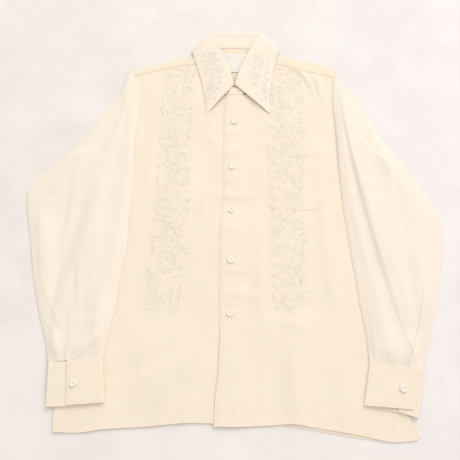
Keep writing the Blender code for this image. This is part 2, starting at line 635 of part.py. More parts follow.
def collar_frame(rows):
    """Seam, roll and leaf edge of each section, with the way up the stand and the way out."""
    seam = pick(rows, COLLAR_COLUMNS, "seam_x", "seam_y", "seam_z")
    roll = pick(rows, COLLAR_COLUMNS, "roll_x", "roll_y", "roll_z")
    edge = pick(rows, COLLAR_COLUMNS, "edge_x", "edge_y", "edge_z")
    facing = np.radians(pick(rows, COLLAR_COLUMNS, "facing")[:, 0])
    rise = roll - seam
    rise = rise / np.linalg.norm(rise, axis=1, keepdims=True)
    flat = rise[:, :2] / np.linalg.norm(rise[:, :2], axis=1, keepdims=True)
    half = len(rows) // 2
    sign = np.where(np.arange(len(rows)) < half, 1.0, -1.0)[:, None]
    aside = np.column_stack([-flat[:, 1:2] * sign, flat[:, 0:1] * sign, np.zeros(len(rows))])
    out = aside * np.cos(facing)[:, None] + np.array([0, 0, 1.0]) * np.sin(facing)[:, None]
    return seam, roll, edge, rise, out


def build_collar():
    """Collar: from the stand round the roll and down to the leaf's edge, points at both ends."""
    rows = collar_rows()
    seam, roll, edge, rise, out = collar_frame(rows)
    sections = [roll - rise * COLLAR_TUCK, roll]
    radius = COLLAR_GAP / 2
    for angle in np.radians((45, 90, 135)):
        sections.append(roll + out * radius * (1 - math.cos(angle)) + rise * radius * math.sin(angle))
    start = roll + out * COLLAR_GAP
    for share in (0.0, 0.33, 0.67, 1.0):
        crown = 1.2 * math.sin(math.pi * share)
        sections.append(start + share * (edge - start) + np.maximum(out[:, 2:3], 0) * (0, 0, crown))
    middle = np.stack(sections, 1)
    middle[..., 2] = np.maximum(middle[..., 2], WALL / 2)
    normal = surface_normals(middle)
    outer = middle + normal * WALL / 2
    inner = middle - normal * WALL / 2
    outer[..., 2] = np.maximum(outer[..., 2], 0)
    inner[..., 2] = np.maximum(inner[..., 2], 0)
    shell("collar", collar_cloth, outer, inner)


def build_stand():
    """Collar stand: a band from the neck seam to the roll, its two tabs lapped at the front."""
    rows = collar_rows()
    left = np.array(STAND_LEFT_TAB, float)
    right = np.array(STAND_RIGHT_TAB, float)
    seam = np.vstack([left[:3], rows[:, 0:3], right[:3]])
    roll = np.vstack([left[3:], rows[:, 3:6], right[3:]])
    rise = roll - seam
    length = np.linalg.norm(rise, axis=1, keepdims=True)
    top_share = 1 - (COLLAR_TUCK + 6 * GAP) / length
    sections = [seam + rise * top_share * share for share in (0.0, 0.5, 1.0)]
    middle = np.stack(sections, 1)
    normal = surface_normals(middle)
    shell("collar_stand", collar_cloth, middle + normal * WALL / 2, middle - normal * WALL / 2)


def build_label():
    """Woven label, bare, on the inside of the yoke below the neck seam."""
    x, y = np.meshgrid(np.linspace(LABEL["x0"], LABEL["x1"], 4), (LABEL["y0"], 318, 334, LABEL["y1"]))
    under = back_height(x, y) + STEP + 0.2
    return sheet("label", label_cloth, np.stack([x, y, under], 2), wall=0.6)


def build_button(name, x, y, z):
    """Button: a turned profile with a raised rim round a dish."""
    profile = ((0.0, 0.0), (BUTTON_RADIUS - 0.9, 0.0), (BUTTON_RADIUS, 0.9), (BUTTON_RADIUS, BUTTON_HEIGHT - 0.5),
               (BUTTON_RADIUS - 0.6, BUTTON_HEIGHT), (BUTTON_RADIUS - 1.3, BUTTON_HEIGHT),
               (BUTTON_RADIUS - 2.0, BUTTON_HEIGHT - BUTTON_SINK), (0.0, BUTTON_HEIGHT - BUTTON_SINK))
    bm = bmesh.new()
    verts = [bm.verts.new(metres((x + r, y, z + h))) for r, h in profile]
    edges = [bm.edges.new((verts[i], verts[i + 1])) for i in range(len(verts) - 1)]
    centre = metres((x, y, z))
    bmesh.ops.spin(bm, geom=verts + edges, cent=centre, axis=(0, 0, 1), angle=math.tau, steps=16,
                   use_merge=True)
    bmesh.ops.remove_doubles(bm, verts=bm.verts, dist=1e-6)
    bmesh.ops.recalc_face_normals(bm, faces=bm.faces)
    mesh = bpy.data.meshes.new(name)
    bm.to_mesh(mesh)
    bm.free()
    mesh.materials.append(button_plastic)
    mesh.shade_smooth()
    mesh.set_sharp_from_angle(angle=math.radians(35))
    piece = bpy.data.objects.new(name, mesh)
    bpy.context.scene.collection.objects.link(piece)


build_back()
build_yoke()
build_fronts()
build_pocket()
build_sleeve("sleeve_left", -1, LEFT_SLEEVE, LEFT_SLEEVE_FOLDS)
build_sleeve("sleeve_right", 1, RIGHT_SLEEVE, RIGHT_SLEEVE_FOLDS)
build_slit_band("slit_band_left", -1, LEFT_SLEEVE, LEFT_SLEEVE_FOLDS, SLIT_BANDS["left"])
build_slit_band("slit_band_right", 1, RIGHT_SLEEVE, RIGHT_SLEEVE_FOLDS, SLIT_BANDS["right"])
build_cuff("cuff_left", LEFT_SLEEVE, LEFT_CUFF_BOTTOM, LEFT_CUFF)
build_cuff("cuff_right", RIGHT_SLEEVE, RIGHT_CUFF_BOTTOM, RIGHT_CUFF)
build_collar()
build_stand()
build_label()
for number, (button_x, button_y) in enumerate(FRONT_BUTTONS, 1):
    build_button("button_%d" % number, button_x, button_y, 4 * STEP)
for button_name, (button_x, button_y) in CUFF_BUTTONS.items():
    build_button(button_name, button_x, button_y, 2 * STEP + 4.7 + CUFF_WALL / 2 + GAP)
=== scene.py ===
# %% [markdown]
# # Embroidered shirt, buttoned and laid flat on its back
# The real object is a long-sleeved shirt of thin cream cloth with pale embroidery down both fronts
# and on the collar points. It lies front up on a pale floor with the sleeves folded down its sides.
# Every piece below is one that a maker would cut and sew, on the form of its solid in the frame.

# %% Frame
import json
import math

import bpy
import numpy as np
from mathutils import Matrix, Vector
from mathutils.bvhtree import BVHTree

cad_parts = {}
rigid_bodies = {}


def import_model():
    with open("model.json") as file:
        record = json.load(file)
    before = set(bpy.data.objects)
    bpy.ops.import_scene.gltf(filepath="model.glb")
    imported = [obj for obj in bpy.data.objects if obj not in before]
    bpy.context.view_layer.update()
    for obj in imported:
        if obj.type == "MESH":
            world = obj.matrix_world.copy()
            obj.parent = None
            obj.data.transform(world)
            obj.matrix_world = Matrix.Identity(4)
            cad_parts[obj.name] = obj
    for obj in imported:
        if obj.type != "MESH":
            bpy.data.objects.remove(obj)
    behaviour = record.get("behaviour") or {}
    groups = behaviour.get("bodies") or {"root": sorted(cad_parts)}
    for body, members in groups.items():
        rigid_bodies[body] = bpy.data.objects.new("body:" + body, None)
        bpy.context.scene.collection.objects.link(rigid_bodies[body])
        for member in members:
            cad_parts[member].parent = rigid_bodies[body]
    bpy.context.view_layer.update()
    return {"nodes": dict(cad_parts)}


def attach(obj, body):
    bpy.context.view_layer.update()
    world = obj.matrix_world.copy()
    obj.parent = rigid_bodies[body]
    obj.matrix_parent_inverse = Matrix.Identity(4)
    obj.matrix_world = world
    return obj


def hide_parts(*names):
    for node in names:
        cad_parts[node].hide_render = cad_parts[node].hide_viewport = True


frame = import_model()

print("frame:", len(frame["nodes"]), "nodes")

# %% [markdown]
# ## Sizes and outlines
# A shirt is cut from a flat pattern, so its form starts from a few sizes and outlines. They could
# be drawn as curves by hand, but tables can be read and changed. Layout sizes are in millimetres,
# X to the right and Y towards the collar, as in the solids.

# %% Sizes
MM = 0.001
LAY = (-4.0, 4.3)         # from the layout to the row frame
WALL = 1.0                # wall of the solids
STEP = 1.3                # one layer of the solids on another
CLOTH = 0.5               # cloth as shown
DOUBLE = 0.9              # cloth with a second layer or a stiff layer inside
LAP = 0.55                # upper front on the under front, as the cloth lies
OPEN_LAP = 1.3            # the same below the last button, where the front stands open
UNDERLAP = 14.0           # x where the under front ends below the placket
PLACKET_WIDTH = 37.0
NECK_BASE = 236.0         # y where the neck's cut ends at the front
NECK_HALF = 63.0          # half the neck's width at the yoke seam
YOKE_SEAM = 250.0         # y of the seam between back and yoke
HEM = 22.0                # depth of the hem
VENT = 4.5                # the back shows this far beyond the upper front at the side's open end
DRAPE_HOLD = 14.0         # how far a sleeve stays level beside the body
DRAPE_RUN = 15.0          # and how far it then slopes down
SLEEVE_DENT = 3.2         # width of the dent that a sleeve's fold presses into the front
PRESS_DEPTH = 0.4         # and its depth
print("three layers of the solids:", round(2 * STEP + WALL, 1), "mm high")

# %% Outlines of the body
# The keys along an edge come first, and the places on it second
SHOULDER = {"x": (-208, -189, -159, -119, -83, -63, -36, 4, 40, 63, 92, 116, 157, 187, 210),
            "y": (292, 297, 307, 320, 330, 339, 357, 359, 356, 341, 336, 332, 321, 312, 303)}
YOKE_DROP = {"x": (-208, -78, 91, 140, 210), "drop": (16, 20, 23, 28, 23)}
LEFT_EDGE = {"y": (-399, -380, -160, 66, 80, 95, 140, 190, 240, 292),
             "x": (-265, -267, -267, -268, -250, -229, -201, -191, -194, -207)}
RIGHT_EDGE = {"y": (-400, -381, -362, -150, 66, 80, 100, 140, 190, 250, 303),
              "x": (298, 294, 284, 281, 276, 258, 236, 213, 205, 205, 209)}
HEM_LEFT = {"x": (-268, -233, -190, -124, -79, -55, 14), "y": (-399, -400, -394, -389, -384, -382, -383)}
HEM_RIGHT = {"x": (-18, 6, 63, 103, 133, 209, 258, 276, 298),
             "y": (-387, -387, -384, -381, -385, -396, -404, -403, -400)}
HEM_BACK = {"x": (-268, -190, -79, 60, 103, 133, 209, 258, 298),
            "y": (-397, -391, -381, -382, -385, -389, -400, -403, -399)}
NECK_LEFT = {"x": (-64, -60, -54, -41, -28, -14, 14), "y": (318, 305, 284, 259, 245, 236, 236)}
NECK_RIGHT = {"x": (-18, 23, 34, 46, 57, 62, 64), "y": (236, 236, 246, 260, 283, 303, 317)}
PLACKET_EDGE = {"y": (-387, -347, -305, -241, -196, -56, 18, 182, 236),
                "x": (-19, -18, -14, -13, -17, -19, -15, -17, -14)}
# Where the sleeves begin to cover the body
LEFT_COVER = {"y": (-400, -285, 66, 300), "x": (-205, -200, -181, -183)}
RIGHT_COVER = {"y": (-400, -285, 82, 180, 300), "x": (232, 229, 200, 197, 200)}
print("body:", len(LEFT_EDGE["x"]) + len(RIGHT_EDGE["x"]), "points on its sides")

# %% Outlines of the sleeves
# The ends of each ring in plan, and how far it bows
SLEEVE_COLUMNS = ("outer_x", "outer_y", "inner_x", "inner_y", "bow")
LEFT_SLEEVE = ((-207, 290, -181, 66, 16), (-216, 250, -181, 52, 12), (-236, 207, -181, 38, 8),
    (-260, 172, -181, 24, 5), (-289, 116, -181, 8, 3), (-318, 79, -181, -8, 1), (-346, 52, -182, -24, 0),
    (-364, 28, -182, -40, 0), (-370, 8, -182, -56, 0), (-366, -15, -181, -74, 0), (-357, -52, -181, -95, 0),
    (-348, -89, -183, -118, 0), (-335, -142, -186, -154, 0), (-323, -183, -189, -190, 0),
    (-313, -215, -192, -220, 0), (-300, -250, -197, -248, 0), (-292, -274, -199, -268, 0),
    (-286, -294.6, -200.5, -285, 0))
RIGHT_SLEEVE = ((209, 301, 200, 82, -9), (211, 272, 201, 64, -4), (231, 252, 202, 48, -2),
    (253, 222, 202.5, 32, 0), (266, 188, 203, 16, 0), (283, 146, 204, 0, 0), (304, 113, 205, -16, 0),
    (331, 69, 207, -34, 0), (350, 34, 208, -52, 0), (367, -5, 210, -72, 0), (378, -43, 212, -92, 0),
    (375, -82, 214, -115, 0), (365, -117, 217, -140, 0), (349, -183, 220, -180, 0),
    (336, -228, 225, -222, 0), (326, -256, 228, -252, 0), (318, -278, 229, -272, 0),
    (313.5, -296, 229.5, -285, 0))
print("sleeves:", len(LEFT_SLEEVE), "and", len(RIGHT_SLEEVE), "rings")

# %% Folds and creases of the body
FOLD_COLUMNS = ("ax", "ay", "bx", "by", "cx", "cy", "height", "left", "right")

# Main folds, as in the solids: a bent line from a to b to c, height, width to its left and right
BODY_FOLDS = ((116, 306, 148, 296, 156, 252, 3.4, 9, 6), (156, 292, 174, 280, 176, 216, 3.2, 9, 6),
    (108, -372, 112, -270, 126, -150, 3.6, 24, 20), (-30, -250, -78, -300, -130, -352, 3.2, 26, 22),
    (-96, 120, -82, 20, -96, -90, 2.2, 20, 20), (56, -60, 48, -150, 60, -240, 2.4, 14, 14),
    (168, 40, 166, -90, 178, -220, 2.6, 14, 10))

# Fine creases of the cloth as it lies, listed one by one
BODY_CREASES = ((-24, 14, 10, 4, 52, 14, 1.5, 11, 6), (-20, -10, 14, -8, 44, -14, -0.7, 7, 7),
    (-22, -180, 10, -170, 60, -178, 1.4, 11, 6), (-14, -198, 14, -196, 50, -202, -0.7, 7, 7),
    (-18, 108, 6, 104, 30, 110, 0.9, 9, 6), (-20, -58, 6, -52, 34, -58, 1.0, 9, 6),
    (-20, 146, 8, 142, 34, 150, 0.8, 8, 6), (-16, -132, 12, -128, 40, -136, 0.9, 9, 6),
    (-58, 150, -34, 128, -26, 96, 1.1, 9, 6), (-64, 214, -46, 190, -40, 150, 0.9, 6, 5),
    (-150, 250, -156, 120, -150, -60, 0.7, 12, 8), (-46, 60, -52, -40, -44, -170, 0.7, 9, 7),
    (-26, -262, -92, -300, -160, -330, 1.2, 10, 14), (-60, -236, -106, -268, -168, -286, 0.8, 9, 12),
    (-150, -230, -136, -300, -140, -372, 0.8, 10, 8), (-100, -318, -104, -350, -112, -384, 0.9, 6, 6),
    (54, -218, 98, -214, 150, -236, 1.0, 7, 12), (100, -250, 108, -310, 104, -372, 1.0, 6, 9),
    (60, -250, 66, -310, 58, -372, 0.8, 9, 7), (176, -236, 184, -300, 176, -380, 0.9, 9, 9),
    (-190, -300, -186, -340, -194, -384, 0.9, 6, 6), (-64, -330, -60, -356, -66, -382, 0.8, 5, 5),
    (34, -330, 30, -356, 36, -384, 0.7, 5, 5), (140, -336, 146, -360, 138, -388, 0.8, 6, 6),
    (40, 214, 62, 200, 70, 166, 0.9, 6, 6), (126, 286, 146, 262, 146, 214, 0.9, 5, 4),
    (142, 280, 164, 262, 166, 190, 0.8, 5, 4), (186, 250, 190, 120, 186, 10, 0.9, 6, 6),
    (180, -20, 190, -120, 186, -220, 0.8, 7, 6), (-26, 150, 8, 146, 30, 150, 0.5, 5, 4),
    (-20, 44, 6, 40, 26, 46, 0.5, 5, 4), (-22, -68, 4, -64, 28, -70, 0.6, 5, 5))
print("body:", len(BODY_FOLDS), "folds and", len(BODY_CREASES), "creases")

# %% [markdown]
# ## Curves
# Edges cut with shears are smooth. A spline object could draw them, but here every edge is a
# short table of measured points, and one cubic runs through the points and never past them.


# %% Curves
def smooth(x, start, end):
    """Rise from 0 at start to 1 at end, level at both: 3t^2 - 2t^3."""
    t = np.clip((np.asarray(x, float) - start) / (end - start), 0.0, 1.0)
    return t * t * (3.0 - 2.0 * t)


def curve(keys, values, at):
    """Cubic through a table's points, each slope the harmonic mean of the slopes beside it."""
    keys = np.asarray(keys, float)
    values = np.asarray(values, float)
    rise = np.diff(values) / np.diff(keys)
    slope = np.empty_like(values)
    slope[0] = rise[0]
    slope[-1] = rise[-1]
    slope[1:-1] = np.where(rise[:-1] * rise[1:] > 0,
                           2 * rise[:-1] * rise[1:] / (rise[:-1] + rise[1:] + 1e-12), 0.0)
    at = np.clip(np.asarray(at, float), keys[0], keys[-1])
    i = np.clip(np.searchsorted(keys, at) - 1, 0, len(keys) - 2)
    span = keys[i + 1] - keys[i]
    t = (at - keys[i]) / span
    return ((1 + 2 * t) * (1 - t) ** 2 * values[i] + t * (1 - t) ** 2 * span * slope[i]
            + t * t * (3 - 2 * t) * values[i + 1] + t * t * (t - 1) * span * slope[i + 1])


def read(table, at):
    """A table's second column at places along its first one, on the cubic through it."""
    keys, values = table.values()
    return curve(keys, values, at)


def spline_rows(rows, steps):
    """More rows between the rows of a table, on a Catmull-Rom curve through them."""
    rows = np.asarray(rows, float)
    padded = np.vstack([2 * rows[0] - rows[1], rows, 2 * rows[-1] - rows[-2]])
    t = np.linspace(0, 1, steps, endpoint=False)[None, :, None]
    p0, p1, p2, p3 = (padded[k:k + len(rows) - 1, None, :] for k in range(4))
    fine = 0.5 * (2 * p1 + (p2 - p0) * t + (2 * p0 - 5 * p1 + 4 * p2 - p3) * t * t
                  + (3 * p1 - p0 - 3 * p2 + p3) * t ** 3)
    return np.vstack([fine.reshape(-1, rows.shape[1]), rows[-1:]])


def resample(rows, count):
    """A table's smooth curve, cut into evenly spaced rows."""
    fine = spline_rows(rows, 40)
    keys = np.linspace(0, 1, len(fine))
    at = np.linspace(0, 1, count)
    return np.column_stack([np.interp(at, keys, fine[:, k]) for k in range(fine.shape[1])])


def pick(table, columns, *names):
    """Named columns of a table, as an array with a row for each row of the table."""
    return np.asarray(table, float)[:, [columns.index(name) for name in names]]


print("half way up the left side: x", round(float(read(LEFT_EDGE, -160)), 1), "mm")

# %% [markdown]
# ## Folds
# Thin cloth that was folded and laid down keeps soft ridges, troughs and fine creases. A cloth
# simulation would put them anywhere, so they are placed along bent lines instead, uneven in
# length, depth and spacing. Long soft sine waves add the slack that no cloth is without.


# %% Folds
def folds(x, y, table, sharp=0.0):
    """Height that the folds of a table add at a place.

    Each fold is a bell exp(-(d / w)^2) of the distance d to its bent line, and fades at the
    line's ends. With sharp at 1 the bell becomes exp(-d / w), a crease with a narrow top.
    """
    x = np.asarray(x, float)
    y = np.asarray(y, float)
    place = np.stack([x.ravel(), y.ravel()], 1)
    height = np.zeros(len(place))
    t = np.linspace(0, 1, 17)[:, None]
    for row in table:
        fold = dict(zip(FOLD_COLUMNS, row))
        start, bend, end = (np.array([fold[k + "x"], fold[k + "y"]], float) for k in "abc")
        line = (1 - t) ** 2 * start + 2 * t * (1 - t) * bend + t * t * end
        reach = 3.2 * max(fold["left"], fold["right"]) * (1 + sharp)
        near = np.all((place > line.min(0) - reach) & (place < line.max(0) + reach), axis=1)
        way = np.diff(line, axis=0)
        offset = place[near][:, None, :] - line[:-1][None]
        s = np.clip(np.sum(offset * way, 2) / np.sum(way * way, 1), 0, 1)
        away = offset - s[..., None] * way
        square = np.sum(away ** 2, 2)
        k = np.argmin(square, 1)
        take = np.arange(len(k))
        distance = np.sqrt(square[take, k])
        side = way[k, 0] * away[take, k, 1] - way[k, 1] * away[take, k, 0]
        width = np.where(side > 0, fold["left"], fold["right"])
        along = (k + s[take, k]) / (len(t) - 1)
        fade = np.sin(np.pi * np.clip(along, 0.03, 0.97)) ** 0.6
        bell = np.exp(-(distance / width) ** 2)
        crease = np.exp(-(np.sqrt(distance ** 2 + 1.0) - 1.0) / width)
        height[near] += fold["height"] * fade * ((1 - sharp) * bell + sharp * crease)
    return height.reshape(x.shape)


def ripple(x, y, length, seed, stretch=1.0):
    """Soft uneven relief between -1 and 1: a sum of sine waves of about that length, in mm."""
    draw = np.random.default_rng(seed)
    total = np.zeros(np.shape(x))
    for _ in range(9):
        turn = draw.uniform(0, math.tau)
        wave = math.tau / (length * draw.uniform(0.7, 1.6))
        along = math.cos(turn) * x * stretch + math.sin(turn) * y
        total += np.sin(wave * along + draw.uniform(0, math.tau))
    return total / 9 * 1.6


def pucker(distance, along, pitch, depth, reach=6.0):
    """Small gathers beside a line of sewing: waves along it that die away from it."""
    wave = np.sin(math.tau * along / pitch + 1.7 * np.sin(along / 23.0))
    return depth * wave * np.exp(-(distance / reach) ** 2)


fold_top = folds(np.array([[110.0]]), np.array([[-270.0]]), BODY_FOLDS)[0, 0]
print("height of a fold's top:", round(float(fold_top), 2), "mm")

# %% [markdown]
# ## Finishes
# The cloth is a thin plain weave with a soft sheen, a little uneven in its weft threads. The
# embroidery is thread with a soft shine, pale grey-brown in the outlines and nearly the cloth's
# own white in the petals. The buttons are polished plastic. An image could carry the weave, but
# waves and noise in millimetres stay sharp from any distance and follow each piece's own map.


# %% A node, a colour and a finish
def linear(code):
    """A hex colour as linear red, green and blue."""
    parts = [int(code[i:i + 2], 16) / 255 for i in (1, 3, 5)]
    return tuple(p / 12.92 if p <= 0.04045 else ((p + 0.055) / 1.055) ** 2.4 for p in parts) + (1.0,)


def node(tree, kind, inputs=None, **settings):
    """One shader node with its settings, and with values or links on its inputs."""
    made = tree.nodes.new(kind)
    for key, value in settings.items():
        setattr(made, key, value)
    for key, value in (inputs or {}).items():
        if isinstance(value, bpy.types.NodeSocket):
            tree.links.new(value, made.inputs[key])
        else:
            made.inputs[key].default_value = value
    return made


def finish(name, colour, roughness, ior, more):
    """A Principled material and its node tree, with values on more of its inputs."""
    made = bpy.data.materials.new(name)
    made.use_nodes = True
    shader = made.node_tree.nodes["Principled BSDF"]
    values = {"Base Color": linear(colour), "Roughness": roughness, "IOR": ior} | more
    for key, value in values.items():
        shader.inputs[key].default_value = value
    return made, made.node_tree, shader


print("cream in linear colour:", [round(c, 3) for c in linear("#F9EAD6")])


# %% Cloth
def cloth_finish(name, colour, shade, pitch=0.42, roughness=0.62):
    """Plain weave: warp and weft waves as relief, uneven weft threads and a faint cloudy tone."""
    made, tree, shader = finish(name, colour, roughness, 1.53, {
        "Sheen Weight": 0.08, "Sheen Roughness": 0.4, "Specular IOR Level": 0.25})
    place = node(tree, "ShaderNodeUVMap", uv_map="mm").outputs["UV"]
    weave = {"Vector": place, "Scale": 1.0 / pitch / math.pi, "Distortion": 0.6, "Detail": 1.0,
             "Detail Scale": 0.4}
    warp, weft = (node(tree, "ShaderNodeTexWave", weave, bands_direction=axis).outputs["Fac"]
                  for axis in "XY")
    threads = node(tree, "ShaderNodeMath", {0: warp, 1: weft}, operation="ADD").outputs["Value"]
    along = node(tree, "ShaderNodeMapping", {"Vector": place, "Scale": (0.012, 0.9, 1.0)}).outputs["Vector"]
    streak = node(tree, "ShaderNodeTexNoise", {"Vector": along, "Scale": 1.0, "Detail": 3.0}).outputs["Fac"]
    cloud = node(tree, "ShaderNodeTexNoise", {"Vector": place, "Scale": 0.012, "Detail": 3.0}).outputs["Fac"]
    tone = node(tree, "ShaderNodeMath", {0: streak, 1: 0.35, 2: cloud}, operation="MULTIPLY_ADD")
    share = node(tree, "ShaderNodeMapRange", {"Value": tone.outputs["Value"], "From Min": 0.45,
                                              "From Max": 0.9})
    mix = node(tree, "ShaderNodeMix", {"Factor": share.outputs["Result"], "A": linear(shade),
                                       "B": linear(colour)}, data_type="RGBA")
    tree.links.new(mix.outputs[2], shader.inputs["Base Color"])
    relief = node(tree, "ShaderNodeMath", {0: threads, 1: 0.5, 2: streak}, operation="MULTIPLY_ADD")
    bump = node(tree, "ShaderNodeBump", {"Height": relief.outputs["Value"], "Strength": 0.35,
                                         "Distance": 0.00012})
    tree.links.new(bump.outputs["Normal"], shader.inputs["Normal"])
    return made


# Poly-cotton shirting, plain woven and pressed: matt, with a little sheen at a low angle and fine
# uneven streaks along the weft. Its threads are 0.33 mm apart in real cloth, and 0.42 mm here.
CREAM = cloth_finish("woven_poly_cotton", "#F9EAD6", "#F5E6D0")
# Painted light: copies of the same cloth in other tones stand in for how light passes through its layers.
# In one layer over air it looks a little whiter, and doubled over a seam yellower.
SLEEVE_CREAM = cloth_finish("woven_poly_cotton_sleeves", "#F9EBDC", "#F5E7D6")
YOKE_CREAM = cloth_finish("woven_poly_cotton_yoke", "#F7E8D1", "#F3E4CA")
# The same cloth fused to a stiff layer is flatter and smoother to the eye. Here only its tone differs: it is
# painted a little whiter for how light passes through it and the stiff layer, and its weave relief is as on
# the other cloth.
COLLAR_CREAM = cloth_finish("fused_poly_cotton_collar", "#FAEDDC", "#F7E9D6")
# Satin tape, woven of bright white filament: smoother and whiter than the cloth.
LABEL_WHITE = cloth_finish("woven_satin_tape", "#F6F0E8", "#EFE8DE", pitch=0.5, roughness=0.4)
print("cloths:", len(bpy.data.materials))


# %% Thread and plastic
def thread_finish(name, colour, roughness, twist=2.2):
    """Shiny embroidery thread: slanted bands along the strand, as its plies turn."""
    made, tree, shader = finish(name, colour, roughness, 1.52, {"Sheen Weight": 0.25, "Sheen Roughness": 0.4})
    place = node(tree, "ShaderNodeUVMap", uv_map="mm").outputs["UV"]
    turned_map = node(tree, "ShaderNodeMapping", {"Vector": place, "Rotation": (0.0, 0.0, 0.6)})
    wave = node(tree, "ShaderNodeTexWave", {"Vector": turned_map.outputs["Vector"], "Scale": 1.0 / twist,
                                            "Distortion": 0.3},
                bands_direction="X").outputs["Fac"]
    bump = node(tree, "ShaderNodeBump", {"Height": wave, "Strength": 0.6, "Distance": 0.0002})
    tree.links.new(bump.outputs["Normal"], shader.inputs["Normal"])
    return made


def button_finish(name, colour, shade):
    """Polished plastic with a faint pearly cloud."""
    made, tree, shader = finish(name, colour, 0.22, 1.56, {
        "Coat Weight": 0.3, "Subsurface Weight": 0.15, "Subsurface Radius": (0.002, 0.0014, 0.0009),
        "Sheen Roughness": 0.4})
    place = node(tree, "ShaderNodeTexCoord").outputs["Object"]
    cloud = node(tree, "ShaderNodeTexNoise", {"Vector": place, "Scale": 260.0, "Detail": 2.0,
                                              "Distortion": 1.5}).outputs["Fac"]
    mix = node(tree, "ShaderNodeMix", {"Factor": cloud, "A": linear(shade), "B": linear(colour)},
               data_type="RGBA")
    tree.links.new(mix.outputs[2], shader.inputs["Base Color"])
    return made


# Rayon embroidery thread, twisted from bright filament: it shines in short flecks along its twist.
# The outlines are 0.68 mm wide, about half as wide again as the real thread, so that they show.
OUTLINE_THREAD = thread_finish("rayon_outline_thread", "#EADCCD", 0.5)
WHITE_THREAD = thread_finish("rayon_filling_thread", "#FAECDA", 0.45, twist=1.6)
# Spun polyester sewing thread, matt and slightly hairy, a little darker than the cloth.
SEAM_THREAD = thread_finish("spun_polyester_thread", "#EAD9C0", 0.55, twist=1.2)
# Cast polyester, turned and tumble-polished: glossy, with a faint pearly cloud inside.
BUTTON_WHITE = button_finish("cast_polyester", "#FAF3E8", "#F4EBDD")
print("finishes:", len(bpy.data.materials))

# %% [markdown]
# ## Making a sheet
# Cloth has a thickness, so each piece is a closed shell. The Solidify modifier could add it, but
# here a sheet is a grid of points on its middle, half the cloth's thickness moved out along the
# surface's normals to each side, and closed by a rim. So hems can be thicker than the rest, and
# the cloth keeps its thickness round every fold.


# %% Points, faces and maps
def metres(points):
    """Layout millimetres to metres in the row frame."""
    return (np.asarray(points, float) + (LAY[0], LAY[1], 0.0)) * MM


def triangles(piece):
    """Number of triangles of a piece."""
    return sum(len(p.vertices) - 2 for p in piece.data.polygons)


def add_piece(name, points, faces, materials, uv, smooth_angle=50.0, face_material=None):
    """A smooth mesh object from whole arrays, with its map in millimetres, riding on the part."""
    mesh = bpy.data.meshes.new(name)
    rows = [row for f in faces if len(f) for row in np.asarray(f, int).tolist()]
    mesh.from_pydata(np.asarray(points, float).tolist(), [], rows)
    corner = np.zeros(len(mesh.loops), np.int32)
    mesh.loops.foreach_get("vertex_index", corner)
    layer = mesh.uv_layers.new(name="mm")
    layer.data.foreach_set("uv", np.asarray(uv, np.float32)[corner].ravel())
    for material in materials:
        mesh.materials.append(material)
    if face_material is not None:
        mesh.polygons.foreach_set("material_index", np.asarray(face_material, np.int32))
    mesh.update()
    mesh.shade_smooth()
    mesh.set_sharp_from_angle(angle=math.radians(smooth_angle))
    made = bpy.data.objects.new(name, mesh)
    bpy.context.scene.collection.objects.link(made)
    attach(made, "root")
    return made


def surface_normals(middle, closed=False):
    """Unit normals of a grid: the cross product of its directions along and across."""
    along = np.gradient(middle, axis=0)
    across = (np.roll(middle, -1, 1) - np.roll(middle, 1, 1)) if closed else np.gradient(middle, axis=1)
    normal = np.cross(along, across)
    return normal / np.maximum(np.linalg.norm(normal, axis=2, keepdims=True), 1e-9)


def arc_map(middle):
    """Distances along and across a grid in millimetres, for the weave to follow the cloth."""
    along = np.concatenate([[0], np.cumsum(np.linalg.norm(np.diff(middle, axis=0), axis=2).mean(1))])
    across = np.concatenate([[0], np.cumsum(np.linalg.norm(np.diff(middle, axis=1), axis=2).mean(0))])
    v, u = np.meshgrid(along, across, indexing="ij")
    return np.stack([u, v], -1)


print("middle of the layout:", metres([(0, 0, 0)])[0].round(4), "m")


# %% Making a sheet
def sheet(name, middle, material, thick=CLOTH, closed=False, keep=None, normal=None, uv=None):
    """A closed sheet round a grid of middle points, its faces turned outward by its volume's sign."""
    rows, columns = middle.shape[:2]
    if normal is None:
        normal = surface_normals(middle, closed)
    half = normal * np.broadcast_to(np.asarray(thick, float), (rows, columns))[..., None] / 2
    count = rows * columns
    index = np.arange(count).reshape(rows, columns)
    if closed:
        index = np.concatenate([index, index[:, :1]], 1)
    cells = np.stack([index[:-1, :-1], index[:-1, 1:], index[1:, 1:], index[1:, :-1]], -1)
    cells = cells.reshape(-1, 4) if keep is None else cells[keep]
    edges = np.concatenate([cells[:, [k, (k + 1) % 4]] for k in range(4)])
    rim = edges[~np.isin(edges[:, 0] * count + edges[:, 1], edges[:, 1] * count + edges[:, 0])]
    rims = np.stack([rim[:, 1], rim[:, 0], rim[:, 0] + count, rim[:, 1] + count], 1)
    faces = np.concatenate([cells, cells[:, ::-1] + count, rims])
    used = np.zeros(2 * count, bool)
    used[faces] = True
    faces = (np.cumsum(used) - 1)[faces]
    points = np.concatenate([(middle + half).reshape(-1, 3), (middle - half).reshape(-1, 3)])
    points = metres(points[used])
    p, q, r, s = (points[faces[:, k]] for k in range(4))
    volume = np.sum(np.cross(q - p, r - p) * p) + np.sum(np.cross(r - p, s - p) * p)
    if volume < 0:
        faces = faces[:, ::-1]
    uv = middle[..., :2] if uv is None else uv
    return add_piece(name, points, [faces], [material], np.concatenate([uv.reshape(-1, 2)] * 2)[used])


def dress(solid, middle, material, slot, **how):
    """The sheet that takes a solid's place; its slot argument is not used."""
    made = sheet("shirt_" + solid, middle, material, **how)
    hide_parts(solid)
    print(made.name, triangles(made), "triangles")
    return made


print("cloth:", CLOTH, "mm thick, and", DOUBLE, "mm where it is double")

# %% [markdown]
# ## How the layers lie
# The back lies on the floor, the fronts on the back, and the sleeves are folded down on to the
# body and slope to the floor beside it. Each piece could be modelled by itself and pushed into
# place, but then they would cut into each other. So the same height functions carry every layer,
# and a pocket, a band or a sleeve follows what is under it.


